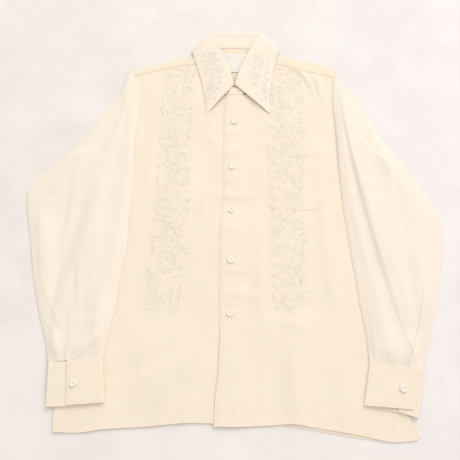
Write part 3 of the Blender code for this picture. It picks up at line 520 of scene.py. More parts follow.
# %% Edges of the body
def side_table(side):
    """The table of the body's left (-1) or right (1) edge."""
    return LEFT_EDGE if side < 0 else RIGHT_EDGE


def body_edge(side, y):
    """Side of the body at a height on the layout."""
    return read(side_table(side), y)


def yoke_front(x):
    """Seam where the yoke meets the fronts."""
    return read(SHOULDER, x) - read(YOKE_DROP, x)


def hem_lines(x):
    """Bottom edges of the fronts."""
    return np.where(x < UNDERLAP - 30, read(HEM_LEFT, x), read(HEM_RIGHT, x))


def uncovered(x, y):
    """1 where the body is open to view and 0 below the sleeves."""
    beside = smooth(x - read(LEFT_COVER, y), 0, 16) * smooth(read(RIGHT_COVER, y) - x, 0, 16)
    return np.maximum(beside, smooth(-y, 366, 376))


print("hem at the centre: y", float(hem_lines(0.0)), "mm")


# %% Heights of the layers
def neck_lift(x, y):
    """Where the collar's back lies under the yoke, the yoke is one layer higher."""
    return STEP * smooth(y, 320, 334) * smooth(76 - np.abs(np.asarray(x) - 4), 0, 8)


def pressed(x, y):
    """How far the fronts are pressed down along the folded edges of the sleeves on them."""
    share = 0
    for rows in (LEFT_SLEEVE, RIGHT_SLEEVE):
        inner = pick(rows, SLEEVE_COLUMNS, "inner_x", "inner_y")[::-1]
        edge = curve(inner[:, 1], inner[:, 0], np.clip(y, -285, 66))
        share = share + np.exp(-((x - edge) / SLEEVE_DENT) ** 2)
    return PRESS_DEPTH * share * smooth(y, -290, -270) * (1 - smooth(y, 40, 70))


def body_relief(x, y):
    """Folds and creases of the fronts above their flat lie."""
    main = np.maximum(folds(x, y, BODY_FOLDS), 0)
    fine = folds(x, y, BODY_CREASES, sharp=0.45)
    soft = 0.55 * ripple(x, y, 95, 3, stretch=1.3) + 0.22 * ripple(x, y, 34, 5, stretch=0.7)
    hem = pucker(y - hem_lines(x) - HEM, x, 15.0, 0.22, 9.0)
    seam = pucker(yoke_front(x) - y, x, 11.0, 0.16)
    band = pucker(x - read(PLACKET_EDGE, y) - PLACKET_WIDTH, y, 17.0, 0.2, 8.0)
    return main + np.maximum(uncovered(x, y) * (fine + soft + hem + seam + band) - pressed(x, y), -0.6)


def front_mid(x, y):
    """Middle of the under front's cloth, one layer above the back."""
    return neck_lift(x, y) + STEP + WALL / 2 + body_relief(x, y)


def upper_front_mid(x, y):
    """Middle of the upper front's cloth, which climbs on to the under front below the placket."""
    lap = OPEN_LAP + (LAP - OPEN_LAP) * smooth(y, -250, -190)
    return front_mid(x, y) + lap * (1 - smooth(x, 20, 32))


def placket_mid(x, y, edge):
    """Middle of the placket, its edges pressed down and its face a little full."""
    lap = upper_front_mid(x, y) - front_mid(x, y)
    free = np.maximum(x - read(PLACKET_EDGE, y), 0)
    z = upper_front_mid(x, y) + CLOTH / 2 + DOUBLE / 2 + 0.05 - 0.25 * np.exp(-edge / 1.2)
    z = z - (0.3 + lap) * smooth(y, -260, -190) * np.exp(-free / 2.2)
    return z + 0.25 * (1 - np.exp(-edge / 4)) + 0.12 * ripple(x, y, 16, 21, stretch=0.4) * smooth(edge, 0, 6)


def drape(side, x, y):
    """What a sleeve lies on: the body, then a slope down to the floor outside it."""
    inside = np.max([(x - body_edge(side, y + reach)) * -side for reach in (-20, -10, 0, 10, 20)], axis=0)
    return 2 * STEP * smooth(inside, -DRAPE_HOLD - DRAPE_RUN, -DRAPE_HOLD)


print("front lies at", front_mid(np.array([[40.0]]), np.array([[100.0]])).round(2), "mm")

# %% [markdown]
# ## Fronts and back
# The fronts are cut from one width of cloth each, with a hem 22 mm deep that is folded up and
# stitched, and a neck cut out at the top. A boolean could cut the outline out of a plane, but a
# grid that is fitted between the edges bends better and needs no cleaning. Its rows are closer
# together at the hem, where the cloth gets thicker, and at the seams.


# %% Fronts and back
def hem_thickness(above):
    """The hem is folded up double, so the cloth is thicker there."""
    return CLOTH + 0.8 * (1 - smooth(above, HEM - 1.4, HEM + 0.2)) + 0.2 * (1 - smooth(above, 0.5, 2.5))


def front_top(side, x):
    """Top of a front: the yoke seam, and the neck's cut inside the neck point."""
    neck = NECK_LEFT if side < 0 else NECK_RIGHT
    return np.where(x * side > NECK_HALF + 1, yoke_front(x) - 0.35, read(neck, x))


def seam_valley(distance):
    """Both edges of a seam dip a little towards it."""
    return -0.18 * np.exp(-np.maximum(distance, 0) / 1.1)


def make_front(solid, side, centre_x, columns, hem, lie):
    """A front: x runs evenly from its side to its centre, and y from its hem to its top."""
    table = side_table(side)
    high, share = np.meshgrid(HEIGHTS, np.linspace(0, 1, columns), indexing="ij")
    level = table["y"][0] + high * (float(yoke_front(table["x"][-1])) - table["y"][0])
    side_x = body_edge(side, level)
    if side > 0:
        side_x = side_x - VENT * smooth(-level, 362, 384)
    x = side_x + share * (centre_x(level) - side_x)
    low = read(hem, x)
    y = low + high * (front_top(side, x) - low)
    z = lie(x, y) + seam_valley(front_top(side, x) - y) * (x * side > NECK_HALF)
    return dress(solid, np.stack([x, y, z], 2), CREAM, "cream_cloth", thick=hem_thickness(y - low))


HEIGHTS = np.concatenate([np.linspace(0, 0.028, 8), np.linspace(0.034, 0.044, 5),
                          np.linspace(0.05, 0.97, 190), np.linspace(0.973, 1.0, 12)])
front_left = make_front("front_left", -1, lambda level: UNDERLAP + 0 * level, 100, HEM_LEFT, front_mid)
front_right = make_front("front_right", 1, lambda level: read(PLACKET_EDGE, level) + 3.2, 112, HEM_RIGHT,
                         upper_front_mid)

high, share = np.meshgrid(np.concatenate([np.linspace(0, 0.04, 8), np.linspace(0.05, 1, 60)]),
                          np.linspace(0, 1, 60), indexing="ij")
left_x, right_x = (body_edge(side, side_table(side)["y"][0] + high * (YOKE_SEAM - side_table(side)["y"][0]))
                   for side in (-1, 1))
x = left_x + share * (right_x - left_x)
low = read(HEM_BACK, x)
y = low + high * (YOKE_SEAM - 0.2 - low)
back = dress("back", np.stack([x, y, np.full_like(x, 0.45)], 2), CREAM, "cream_cloth",
             thick=np.minimum(hem_thickness(y - low), 0.85))

# %% [markdown]
# ## Placket and pocket
# The placket is a separate folded strip with a stiff layer inside, sewn down both edges. The
# patch pocket has a deep folded top and cut lower corners. A Shrinkwrap modifier could lay them
# on the front, but the front's height is known everywhere, so they are laid on that function, a
# little full in the middle and pressed at the edges, as ironed cloth is.

# %% Placket and pocket
level = HEIGHTS[:, None] * (NECK_BASE + 387) - 387
share = np.concatenate([[0, 0.012, 0.03], np.linspace(0.06, 0.94, 20), [0.97, 0.988, 1.0]])[None, :]
x = read(PLACKET_EDGE, level) + share * PLACKET_WIDTH
low = read(HEM_RIGHT, x)
y = low + HEIGHTS[:, None] * (NECK_BASE - low)
edge = np.minimum(share, 1 - share) * PLACKET_WIDTH
placket = dress("placket", np.stack([x, y, placket_mid(x, y, edge)], 2), CREAM, "cream_cloth",
                thick=DOUBLE - 0.5 * np.exp(-edge / 1.0))

# Edges of the pocket, with the size of its cut corners, and of the label
POCKET = {"x0": 67.5, "x1": 165.5, "top": 122.0, "bottom": -15.0, "corner": 9.0}
left_x, right_x, top, bottom, corner = POCKET.values()
columns = np.linspace(left_x, right_x, 50)
depth = np.abs(columns - (left_x + right_x) / 2) - (right_x - left_x) / 2
low = bottom + np.maximum(depth + corner, 0)
y = low + np.linspace(0, 1, 66)[:, None] * (top - low)
x = np.broadcast_to(columns, y.shape)
edge = np.minimum(np.minimum(x - left_x, right_x - x), y - low)
thick = CLOTH + 0.4 * smooth(y, top - 26.5, top - 25) - 0.2 * np.exp(-edge / 0.8)
z = upper_front_mid(x, y) + CLOTH - 0.1 + 0.3 * (1 - np.exp(-edge / 6))
mouth = 0.55 * smooth(y, top - 30, top) * (1 - np.exp(-edge / 22))
z = z + mouth + 0.12 * ripple(x, y, 20, 31) * smooth(edge, 0, 8) + (thick - CLOTH) / 2
pocket = dress("pocket", np.stack([x, y, z], 2), CREAM, "cream_cloth", thick=thick)

# %% [markdown]
# ## Yoke and label
# The yoke is one piece that runs up the back, over both shoulders and a little way down the
# front, with the neck cut out of it. It could be two pieces with a seam on the shoulder, but real
# yokes roll over it, so its rows go up the back, round in a half circle and down the front. The
# label is a short piece of white woven tape, left bare, sewn inside the yoke below the collar.

# %% Yoke and label
nominal = np.concatenate([np.linspace(-208, -NECK_HALF, 60), np.linspace(-60, 60, 40),
                          np.linspace(NECK_HALF, 210, 60)])
spread = (nominal - nominal[0]) / (nominal[-1] - nominal[0])
near_neck = smooth(np.abs(nominal), 110, 70)
back_share = np.concatenate([np.linspace(0, 0.9, 24), [0.95, 1.0]])
turns = np.radians(np.linspace(18, 162, 9))
front_share = np.concatenate([[0.04], np.linspace(0.12, 0.9, 12), [0.95, 1.0]])
steps = [("back", v) for v in back_share] + [("turn", v) for v in turns] + [("front", v) for v in front_share]
radius = STEP / 2
run = 4.0                 # from the shoulder's fold to where the turn begins
rows = []
for part, value in steps:
    share = value if part == "back" else 1.0
    left, right = (body_edge(side, YOKE_SEAM + share * (SHOULDER["y"][end] - YOKE_SEAM))
                   for side, end in ((-1, 0), (1, -1)))
    x = left + spread * (right - left)
    x = x + near_neck * (nominal - x)
    fold = read(SHOULDER, x)
    if part == "back":
        y = YOKE_SEAM + value * (fold - run - YOKE_SEAM)
        z = neck_lift(x, y) + WALL / 2
    elif part == "turn":
        y = fold - WALL / 2 - radius + radius * math.sin(value)
        z = neck_lift(x, fold - run) + WALL / 2 + radius * (1 - math.cos(value))
    else:
        y = fold - run + value * (yoke_front(x) + 0.1 - (fold - run))
        relief = body_relief(x, np.minimum(y, yoke_front(x))) * smooth(value, 0, 1)
        z = neck_lift(x, y) + STEP + WALL / 2 + relief + 0.4 * math.sin(math.pi * value)
        z = z + seam_valley(y - yoke_front(x)) * smooth(value, 0.5, 1)
    rows.append(np.column_stack([x, y, z]))
middle = np.array(rows)
keep = np.ones((len(steps) - 1, len(nominal) - 1), bool)
keep[len(back_share) - 1:, np.abs(nominal[:-1] + np.diff(nominal) / 2) < NECK_HALF] = False
normal = surface_normals(middle)
normal[:len(back_share)] = np.sign(normal[:len(back_share), :, 2:3]) * (0, 0, 1)
yoke = dress("yoke", middle, YOKE_CREAM, "yoke_cloth", keep=keep, normal=normal, uv=arc_map(middle))

LABEL = {"x0": -20.0, "x1": 29.0, "y0": 293.0, "y1": 337.0}
x, y = np.meshgrid(np.linspace(LABEL["x0"], LABEL["x1"], 34), np.linspace(LABEL["y0"], LABEL["y1"], 34))
edge = np.minimum(np.minimum(x - LABEL["x0"], LABEL["x1"] - x), np.minimum(y - LABEL["y0"], LABEL["y1"] - y))
z = neck_lift(x, y) + STEP + 0.5 + 0.35 * (1 - np.exp(-edge / 7)) + 0.14 * ripple(x, y, 26, 41)
label = dress("label", np.stack([x, y, z], 2), LABEL_WHITE, "label_cloth",
              thick=0.35 + 0.2 * np.exp(-edge / 1.0))

# %% [markdown]
# ## Sleeves
# Each sleeve is one tube pressed flat, sewn into the armhole and folded down along the body.
# Air and creases hold its upper layer off the lower one, and near the cuff small gathers take in
# its width. It could be a flattened cylinder, but rings between two tables of edge points follow
# the sleeve's outline, and each ring runs over the upper layer, round the edge and back below.

# %% Folds and creases of the sleeves
LEFT_SLEEVE_FOLDS = ((-200, 225, -203, 120, -233, -30, -1.5, 9, 9),
    (-192, 200, -190, 60, -200, -150, 1.0, 10, 10), (-262, 0, -274, -50, -300, -190, -3.2, 14, 8),
    (-232, 60, -250, -60, -262, -190, 4.0, 18, 18), (-268, -120, -262, -170, -257, -212, -2.2, 7, 7),
    (-240, 175, -300, 90, -330, 0, 3.4, 22, 22), (-335, -20, -325, -110, -306, -180, 3.0, 16, 16),
    (-212, -150, -222, -220, -208, -272, 3.4, 12, 12), (-246, -286, -228, -262, -206, -246, 3.0, 9, 9),
    (-284, -250, -280, -268, -272, -288, 3.0, 8, 8))
RIGHT_SLEEVE_FOLDS = ((213, 245, 222, 60, 294, -250, 4.6, 26, 4),
    (209, 190, 212, 20, 244, -190, 1.6, 10, 10), (245, 195, 296, 90, 344, -40, 3.2, 22, 22),
    (330, -60, 332, -140, 312, -240, 3.2, 16, 16), (246, -150, 256, -220, 250, -276, 3.0, 12, 12),
    (262, -288, 270, -262, 268, -236, 3.4, 8, 8), (288, -292, 294, -262, 304, -240, 2.6, 8, 8))

# Fine creases
LEFT_SLEEVE_CREASES = ((-196, 250, -196, 150, -216, 60, 1.0, 5, 4),
    (-214, 180, -226, 100, -262, 30, 0.9, 6, 5), (-236, 190, -290, 130, -340, 50, 0.8, 8, 7),
    (-352, 10, -330, -60, -322, -140, 0.8, 8, 6), (-268, -96, -268, -130, -266, -176, 0.9, 4, 4),
    (-250, -40, -262, -110, -286, -200, 1.0, 6, 5), (-226, -30, -238, -120, -232, -210, 1.1, 7, 6),
    (-196, -100, -206, -180, -204, -250, 1.0, 6, 5), (-318, -160, -300, -190, -276, -236, 1.3, 6, 5),
    (-308, -216, -292, -240, -268, -262, 1.2, 5, 5), (-232, -292, -226, -262, -206, -232, 1.2, 4, 4),
    (-262, -292, -256, -266, -246, -240, 1.1, 4, 4), (-276, -292, -276, -268, -268, -250, 1.2, 4, 4),
    (-214, -288, -210, -270, -204, -258, 1.0, 4, 4), (-224, -290, -218, -272, -212, -250, 0.9, 3, 3),
    (-250, -240, -232, -226, -212, -222, 1.0, 6, 5))
RIGHT_SLEEVE_CREASES = ((206, 262, 208, 160, 216, 60, 0.9, 5, 4), (226, 226, 240, 160, 262, 90, 1.0, 7, 6),
    (248, 170, 276, 90, 330, 10, 1.0, 8, 7), (222, 110, 246, 30, 262, -70, 1.1, 6, 5),
    (360, 0, 330, -20, 300, -60, 1.1, 8, 6), (368, -60, 340, -90, 318, -150, 1.1, 8, 6),
    (226, -20, 232, -110, 256, -200, 1.1, 6, 5), (270, -60, 296, -150, 306, -230, 1.1, 7, 6),
    (236, -286, 240, -262, 236, -226, 1.2, 4, 4), (248, -290, 254, -262, 262, -236, 1.1, 4, 4),
    (276, -292, 280, -264, 288, -240, 1.1, 4, 4), (300, -294, 302, -270, 310, -250, 1.1, 4, 4),
    (262, -290, 262, -274, 256, -256, 0.9, 3, 3), (232, -170, 240, -220, 238, -262, 0.9, 5, 5))
print("creases:", len(LEFT_SLEEVE_CREASES), "and", len(RIGHT_SLEEVE_CREASES))

# %% Sizes of the sleeves and cuffs
PUFF = 3.2                # air in a sleeve
SLEEVE_RINGS = 190
SLEEVE_POINTS = 72
SLIT_START = 0.74         # share of the sleeve above its slit
FOLD_GAIN = 1.2           # the thin cloth of the sleeves folds higher than the solids

# Sections of the cuffs from the flap's edge round to the end below it
CUFF_COLUMNS = ("top_share", "bottom_share", "drop", "z")
LEFT_CUFF = ((0.655, 0.65, 0, 4.7), (0.48, 0.50, 0, 4.6), (0.25, 0.27, 0, 4.2), (0.03, 0.03, 0, 3.2),
    (0.005, 0.005, 0, 2.0), (0.03, 0.03, 0, 0.8), (0.30, 0.30, 1, 0.8), (0.65, 0.65, 1, 0.8),
    (0.97, 0.97, 0, 0.8), (0.995, 0.995, 0, 1.75), (0.97, 0.97, 0, 2.7), (0.74, 0.74, 1, 2.7),
    (0.52, 0.54, 1, 2.6))
RIGHT_CUFF = ((0.92, 0.95, 0, 4.7), (0.62, 0.64, 0, 4.6), (0.30, 0.32, 0, 4.2), (0.03, 0.03, 0, 3.2),
    (0.005, 0.005, 0, 2.0), (0.03, 0.03, 0, 0.8), (0.35, 0.35, 3, 0.8), (0.70, 0.70, 7, 0.8),
    (0.97, 0.99, 11, 0.8), (0.995, 1.015, 11, 1.75), (0.97, 0.99, 11, 2.7), (0.80, 0.82, 8, 2.7),
    (0.62, 0.64, 5, 2.6))

# Each sleeve: its side and tables, the shares across it that its slit band takes up at the top and
# at the cuff, the lower corners of its cuff, and the seeds of its ripples
SLEEVES = {
    "left": {"side": -1, "rings": LEFT_SLEEVE, "folds": LEFT_SLEEVE_FOLDS, "creases": LEFT_SLEEVE_CREASES,
             "seed": 51, "slit_top": (0.54, 0.37), "slit_end": (0.70, 0.43),
             "cuff": LEFT_CUFF, "cuff_bottom": ((-191, -355), (-280, -363)), "cuff_seed": 71},
    "right": {"side": 1, "rings": RIGHT_SLEEVE, "folds": RIGHT_SLEEVE_FOLDS, "creases": RIGHT_SLEEVE_CREASES,
              "seed": 61, "slit_top": (0.96, 0.82), "slit_end": (0.96, 0.72),
              "cuff": RIGHT_CUFF, "cuff_bottom": ((215.5, -351.5), (296, -357)), "cuff_seed": 73}}
print("cuff sections:", len(LEFT_CUFF), "and", len(RIGHT_CUFF))


# %% Sleeves
def ring_plan(rings, share):
    """Places along each ring of a sleeve, from its inner end (0) to its outer end (1)."""
    outer = pick(rings, SLEEVE_COLUMNS, "outer_x", "outer_y")[:, None]
    inner = pick(rings, SLEEVE_COLUMNS, "inner_x", "inner_y")[:, None]
    across = outer - inner
    sideways = np.stack([across[..., 1], -across[..., 0]], 2) / np.linalg.norm(across, axis=2, keepdims=True)
    square = share[..., None] ** 2
    bow = pick(rings, SLEEVE_COLUMNS, "bow")[:, None] * np.sign(sideways[..., 0:1])
    bow = bow * 4 * square * (1 - square)
    return inner + share[..., None] * across + sideways * bow


def sleeve_layers(sleeve, rings, share):
    """Plan, middle of the lower layer and middle of the upper layer of a sleeve."""
    plan = ring_plan(rings, share)
    x, y = plan[..., 0], plan[..., 1]
    along = np.linspace(0, 1, len(rings))[:, None]
    sewn = 1 - smooth(along, 0.0, 0.03)
    rest = np.exp(-share / 0.04) * smooth(along, 0.0, 0.06) * (1 - smooth(along, 0.9, 0.98))
    low = np.maximum(drape(sleeve["side"], x, y), 2 * STEP * smooth(along, 0.93, 1.0)) + WALL / 2 - 0.7 * sewn
    low = low - 0.85 * rest
    level = smooth(along, 0.0, 0.12) * (1 - 0.6 * smooth(along, 0.9, 1.0))
    air = PUFF * level * np.clip(4 * share * (1 - share), 0, 1) ** 0.5
    inner = smooth(share, 0, 0.12) * smooth(1 - share, 0, 0.1)
    rise = FOLD_GAIN * folds(x, y, sleeve["folds"]) * inner
    fine = folds(x, y, sleeve["creases"], sharp=0.5) * inner
    seed = sleeve["seed"]
    soft = (0.5 * ripple(x, y, 80, seed) + 0.2 * ripple(x, y, 30, seed + 1)) * inner * smooth(along, 0, 0.1)
    gathers = pucker(1 - along, share * 120 + 5 * np.sin(share * 11), 13.0, 0.22, 0.04) * inner
    lift = np.maximum(air + rise + fine + soft + gathers, 0.08 * inner)
    return plan, low, low + STEP - 0.75 * sewn - 0.65 * rest + lift


def sleeve_turn(plan, low, high, index, degrees):
    """A half round at an edge of a sleeve, at right angles to the edge's run."""
    place = plan[:, index]
    line = np.gradient(place, axis=0)
    out = np.column_stack([line[:, 1], -line[:, 0]])
    out *= np.sign(np.sum(out * (place - plan[:, -1 - index]), axis=1, keepdims=True))
    out = out / np.linalg.norm(out, axis=1, keepdims=True)
    centre = (high[:, index] + low[:, index]) / 2
    size = (high[:, index] - low[:, index]) / 2
    columns = [np.column_stack([place + out * (size * math.cos(t))[:, None], centre + size * math.sin(t)])
               for t in np.radians(degrees)]
    return np.stack(columns, 1)


def make_sleeve(name):
    """A sleeve: upper layer, half-round turn, lower layer and half-round turn, all one tube."""
    rings = resample(SLEEVES[name]["rings"], SLEEVE_RINGS)
    share = np.broadcast_to(np.linspace(0, 1, SLEEVE_POINTS), (SLEEVE_RINGS, SLEEVE_POINTS))
    plan, low, high = sleeve_layers(SLEEVES[name], rings, share)
    upper = np.concatenate([plan, high[..., None]], 2)
    lower = np.concatenate([plan, low[..., None]], 2)[:, ::-1]
    middle = np.concatenate([upper, sleeve_turn(plan, low, high, -1, (60, 30, 0, -30, -60)),
                             lower, sleeve_turn(plan, low, high, 0, (-60, -30, 0, 30, 60))], 1)
    made = dress("sleeve_" + name, middle, SLEEVE_CREAM, "cream_cloth", closed=True, uv=arc_map(middle))
    return made, middle


(sleeve_left, left_middle), (sleeve_right, right_middle) = map(make_sleeve, ("left", "right"))

# %% [markdown]
# ## Slit bands and cuffs
# The slit above the cuff is bound by a narrow folded band, which takes the sleeve's own points
# and lies on top of them. The cuff is a stiff strip that wraps round with its flap on top. A box
# would hide that, so its section is a table of shares and heights that runs from the flap's edge
# round both ends, and the cuff is that section carried from the sleeve's mouth to its own edge.


# %% Slit bands and cuffs
def make_slit_band(name):
    """Narrow folded band on the sleeve's slit: the sleeve's own points, moved out."""
    sleeve = SLEEVES[name]
    first = round(SLIT_START * (SLEEVE_RINGS - 1))
    along = np.linspace(0, 1, SLEEVE_RINGS)
    t = np.clip((along - along[first]) / (1 - along[first]), 0, 1)[:, None]
    start, end = (top + t * (cuff - top) for top, cuff in zip(sleeve["slit_top"], sleeve["slit_end"]))
    across = np.linspace(0, 1, 16)[None, :]
    rings = resample(sleeve["rings"], SLEEVE_RINGS)
    plan, low, high = sleeve_layers(sleeve, rings, start + across * (end - start))
    edge = np.minimum(across, 1 - across) * 20.0 + 0 * t
    ends = np.minimum(np.arange(SLEEVE_RINGS)[:, None] - first, 8) / 8.0
    edge = np.minimum(edge, 8.0 * np.clip(ends, 0, 1))
    z = high + CLOTH / 2 + 0.45 + 0.3 * (1 - np.exp(-edge / 2.5))
    middle = np.concatenate([plan, z[..., None]], 2)[first:]
    return dress("slit_band_" + name, middle, SLEEVE_CREAM, "cream_cloth",
                 thick=0.75 - 0.3 * np.exp(-edge[first:] / 0.8))


def mouth_ends(sleeve):
    """Inner and outer end of a sleeve's last ring."""
    return (pick(sleeve["rings"], SLEEVE_COLUMNS, end + "_x", end + "_y")[-1] for end in ("inner", "outer"))


def make_cuff(name):
    """A cuff: its section runs from the flap's edge, round both ends to the end below the flap."""
    inner_top, outer_top = (end - (0, 0.2) for end in mouth_ends(SLEEVES[name]))
    inner_bottom, outer_bottom = np.asarray(SLEEVES[name]["cuff_bottom"], float)
    place = dict(zip(CUFF_COLUMNS, spline_rows(SLEEVES[name]["cuff"], 9).T))
    above = inner_top + place["top_share"][:, None] * (outer_top - inner_top)
    below = inner_bottom + place["bottom_share"][:, None] * (outer_bottom - inner_bottom)
    below = below - np.column_stack([0 * place["drop"], place["drop"]])
    down = np.concatenate([[0, 0.012, 0.03], np.linspace(0.06, 0.94, 26), [0.97, 0.988, 1.0]])[:, None]
    plan = above[None] + down[..., None] * (below - above)[None]
    flap = np.linalg.norm(np.diff(plan, axis=1, prepend=plan[:, :1]), axis=2).cumsum(1)
    edge = np.minimum(np.minimum(down, 1 - down) * 62.0, flap)
    fullness = 0.25 * (1 - np.exp(-edge / 5))
    fullness = fullness + 0.12 * ripple(plan[..., 0], plan[..., 1], 30, SLEEVES[name]["cuff_seed"])
    z = place["z"][None, :] + 2 * STEP + smooth(place["z"], 2.9, 4.2)[None, :] * fullness
    middle = np.concatenate([plan, z[..., None]], 2)
    return dress("cuff_" + name, middle, CREAM, "cream_cloth", thick=1.15 - 0.45 * np.exp(-edge / 0.9),
                 uv=arc_map(middle))


slit_band_left, slit_band_right = map(make_slit_band, ("left", "right"))
cuff_left, cuff_right = map(make_cuff, ("left", "right"))

# %% [markdown]
# ## Collar and stand
# The stand is a band sewn to the neck, lapped and buttoned at the front. The leaf turns over it
# at the roll and falls to two long points. Both have a stiff layer inside, so they are thicker
# and hold their shape, and at the back the leaf lies under the shirt. A cloth simulation would
# have to fold it there, so each section is given by three places instead, seam, roll and edge,
# with the way that the roll faces, and the sections are joined by smooth curves.

# %% Sizes of the collar
COLLAR_GAP = 3.0          # between the two sides of the collar's roll
COLLAR_TUCK = 6.0         # how far the leaf's inside reaches down the stand
FOLD_ROUND = 2.8          # length of the round at the collar's side folds
FOLD_SHARE = 0.8          # and how far its heights and angles follow

# Sections of the collar: seam, roll and edge, and where the roll faces in degrees
COLLAR_COLUMNS = ("seam_x", "seam_y", "seam_z", "roll_x", "roll_y", "roll_z",
                  "edge_x", "edge_y", "edge_z", "facing")
COLLAR = ((-12, 240, 1.9, 0.5, 256, 4.5, -50, 189, 5.0, 90),
    (-40, 263, 3.1, -7, 290, 6.3, -54, 218, 4.5, 90), (-52, 285, 3.1, -13, 309, 7.0, -59, 249, 4.3, 90),
    (-59, 308, 3.5, -22, 330, 7.4, -65, 275, 4.3, 90), (-64, 325, 4.3, -31, 350, 7.6, -73, 302, 4.4, 90),
    (-68, 337, 5.5, -43, 377, 7.6, -81, 328, 4.8, 75), (-70, 344, 4.4, -50, 388, 5.6, -85, 342, 2.9, 0),
    (-60, 348, 3.2, -46, 392, 3.6, -81, 344, 0.5, -90), (-34, 355, 3.1, -28, 392, 3.5, -50, 343, 0.5, -90),
    (4, 357, 3.1, 3, 392, 3.5, 4, 343, 0.5, -90), (38, 354, 3.1, 34, 393, 3.5, 56, 345, 0.5, -90),
    (62, 348, 3.2, 52, 393, 3.6, 88, 350, 0.5, -90), (71, 344, 4.4, 57, 389, 5.6, 93, 350, 2.9, 0),
    (69, 337, 5.5, 49, 377, 7.6, 89, 335, 5.2, 75), (66, 323, 4.3, 36, 348, 7.6, 83, 304, 4.5, 90),
    (62, 306, 3.5, 28, 328, 7.4, 78, 275, 4.6, 90), (56, 284, 3.1, 20, 309, 7.0, 75, 250, 4.6, 90),
    (45, 263, 3.1, 13, 288, 6.4, 73, 225, 4.5, 90), (19, 240, 3.4, 5.0, 256.5, 5.4, 74, 192, 4.7, 90))
# Ends of the stand: x, y and z at its seam and at its top
STAND_LEFT_TAB = (16, 240, 1.8, 18, 262, 3.4)
STAND_RIGHT_TAB = (-8, 240, 3.4, -6, 259, 5.6)
print("collar:", len(COLLAR), "measured sections")


# %% Sections of the collar
def collar_rows():
    """Sections of the collar, close together, with a round at each side fold."""
    table = np.array(COLLAR, float)
    rows = []
    for i, row in enumerate(table):
        if row[9] != 0:
            rows.append(row)
            continue
        for near in (table[i - 1], row, table[i + 1]):
            toward = near - row
            short = toward * FOLD_SHARE
            for start in (0, 3, 6):
                length = np.linalg.norm(toward[start:start + 2]) + 1e-9
                short[start:start + 2] = toward[start:start + 2] / length * min(FOLD_ROUND, length / 2)
            rows.append(row + short)
    rows = np.array(rows)
    step = np.linalg.norm(np.diff((rows[:, 3:6] + rows[:, 6:9]) / 2, axis=0), axis=1)
    keys = np.concatenate([[0], np.cumsum(step)])
    at = np.concatenate([np.linspace(keys[i], keys[i + 1], max(4, round(step[i] / 1.8)), endpoint=False)
                         for i in range(len(step))] + [keys[-1:]])
    return np.column_stack([curve(keys, rows[:, k], at) for k in range(rows.shape[1])])


rows = collar_rows()
seam, roll, leaf_edge = (pick(rows, COLLAR_COLUMNS, place + "_x", place + "_y", place + "_z")
                         for place in ("seam", "roll", "edge"))
seam = seam - (0, 0, 0.5)
leaf_edge[:, 2] -= 1.0 * smooth(leaf_edge[:, 2], 3.0, 4.4)
print("collar sections:", len(rows))

# %% Collar leaf
facing = np.radians(pick(rows, COLLAR_COLUMNS, "facing")[:, 0])
rise = roll - seam
rise = rise / np.linalg.norm(rise, axis=1, keepdims=True)
flat = rise[:, :2] / np.linalg.norm(rise[:, :2], axis=1, keepdims=True)
sign = np.where(np.arange(len(rows)) < len(rows) // 2, 1.0, -1.0)[:, None]
aside = np.column_stack([-flat[:, 1:2] * sign, flat[:, 0:1] * sign, np.zeros(len(rows))])
out = aside * np.cos(facing)[:, None] + np.array([0, 0, 1.0]) * np.sin(facing)[:, None]
half = COLLAR_GAP / 2
start = roll + out * COLLAR_GAP
sections = [roll - rise * COLLAR_TUCK * k for k in (1.0, 0.66, 0.33, 0.0)]
sections += [roll + out * half * (1 - math.cos(angle)) + rise * half * math.sin(angle)
             for angle in np.radians(np.linspace(20, 160, 8))]
for share in np.concatenate([[0.0], np.linspace(0.03, 0.96, 34), [0.985, 1.0]]):
    crown = 1.2 * math.sin(math.pi * share)
    sections.append(start + share * (leaf_edge - start) + np.maximum(out[:, 2:3], 0) * (0, 0, crown))
leaf_middle = np.stack(sections, 1)
x, y, z = np.moveaxis(leaf_middle, 2, 0)
leaf_middle[..., 2] = np.maximum(z + 0.25 * ripple(x, y, 45, 81) * smooth(z, 3.5, 5.0), WALL / 2)
number, count = leaf_middle.shape[:2]
to_edge = (count - 1 - np.arange(count))[None, :]
to_front = np.minimum(np.arange(number), number - 1 - np.arange(number))[:, None]
collar = dress("collar", leaf_middle, COLLAR_CREAM, "collar_cloth", uv=arc_map(leaf_middle),
               thick=DOUBLE - 0.35 * np.exp(-np.minimum(to_edge, to_front) * 1.8 / 1.5))


# %% Stand
def with_tabs(line, left_tab, right_tab):
    """A line of the stand, with its left and right tab before and after it."""
    share = np.linspace(0, 1, 10, endpoint=False)[:, None]
    left = left_tab + share * (line[0] - left_tab)
    right = line[-1] + share * (right_tab - line[-1])
    return np.vstack([left, line, right[1:], right_tab[None]])


left_tab, right_tab = np.array(STAND_LEFT_TAB, float), np.array(STAND_RIGHT_TAB, float)
seam_line = with_tabs(seam, left_tab[:3], right_tab[:3])
roll_line = with_tabs(roll, left_tab[3:], right_tab[3:])
at_back = smooth(seam_line[:, 1], 346, 354)
at_front = smooth(-seam_line[:, 1], -262, -242)
right_side = smooth(np.arange(len(seam_line)), len(seam_line) * 0.5, len(seam_line) * 0.6)
seam_line[:, 1] -= 3.2 * at_back + 4.6 * at_front
over_band = at_front * right_side * smooth(-seam_line[:, 0], -34, -22)
under_tab = np.where(right_side > 0.5, 0.0, 2.5 * at_front)
seam_line[:, 2] = np.max([seam_line[:, 2], 4.2 * over_band, under_tab, 2.35 * at_back], axis=0)
length = np.linalg.norm(roll_line - seam_line, axis=1, keepdims=True)
top_share = 1 - (COLLAR_TUCK + 0.25) / length
middle = np.stack([seam_line + (roll_line - seam_line) * top_share * s for s in np.linspace(0, 1, 12)], 1)
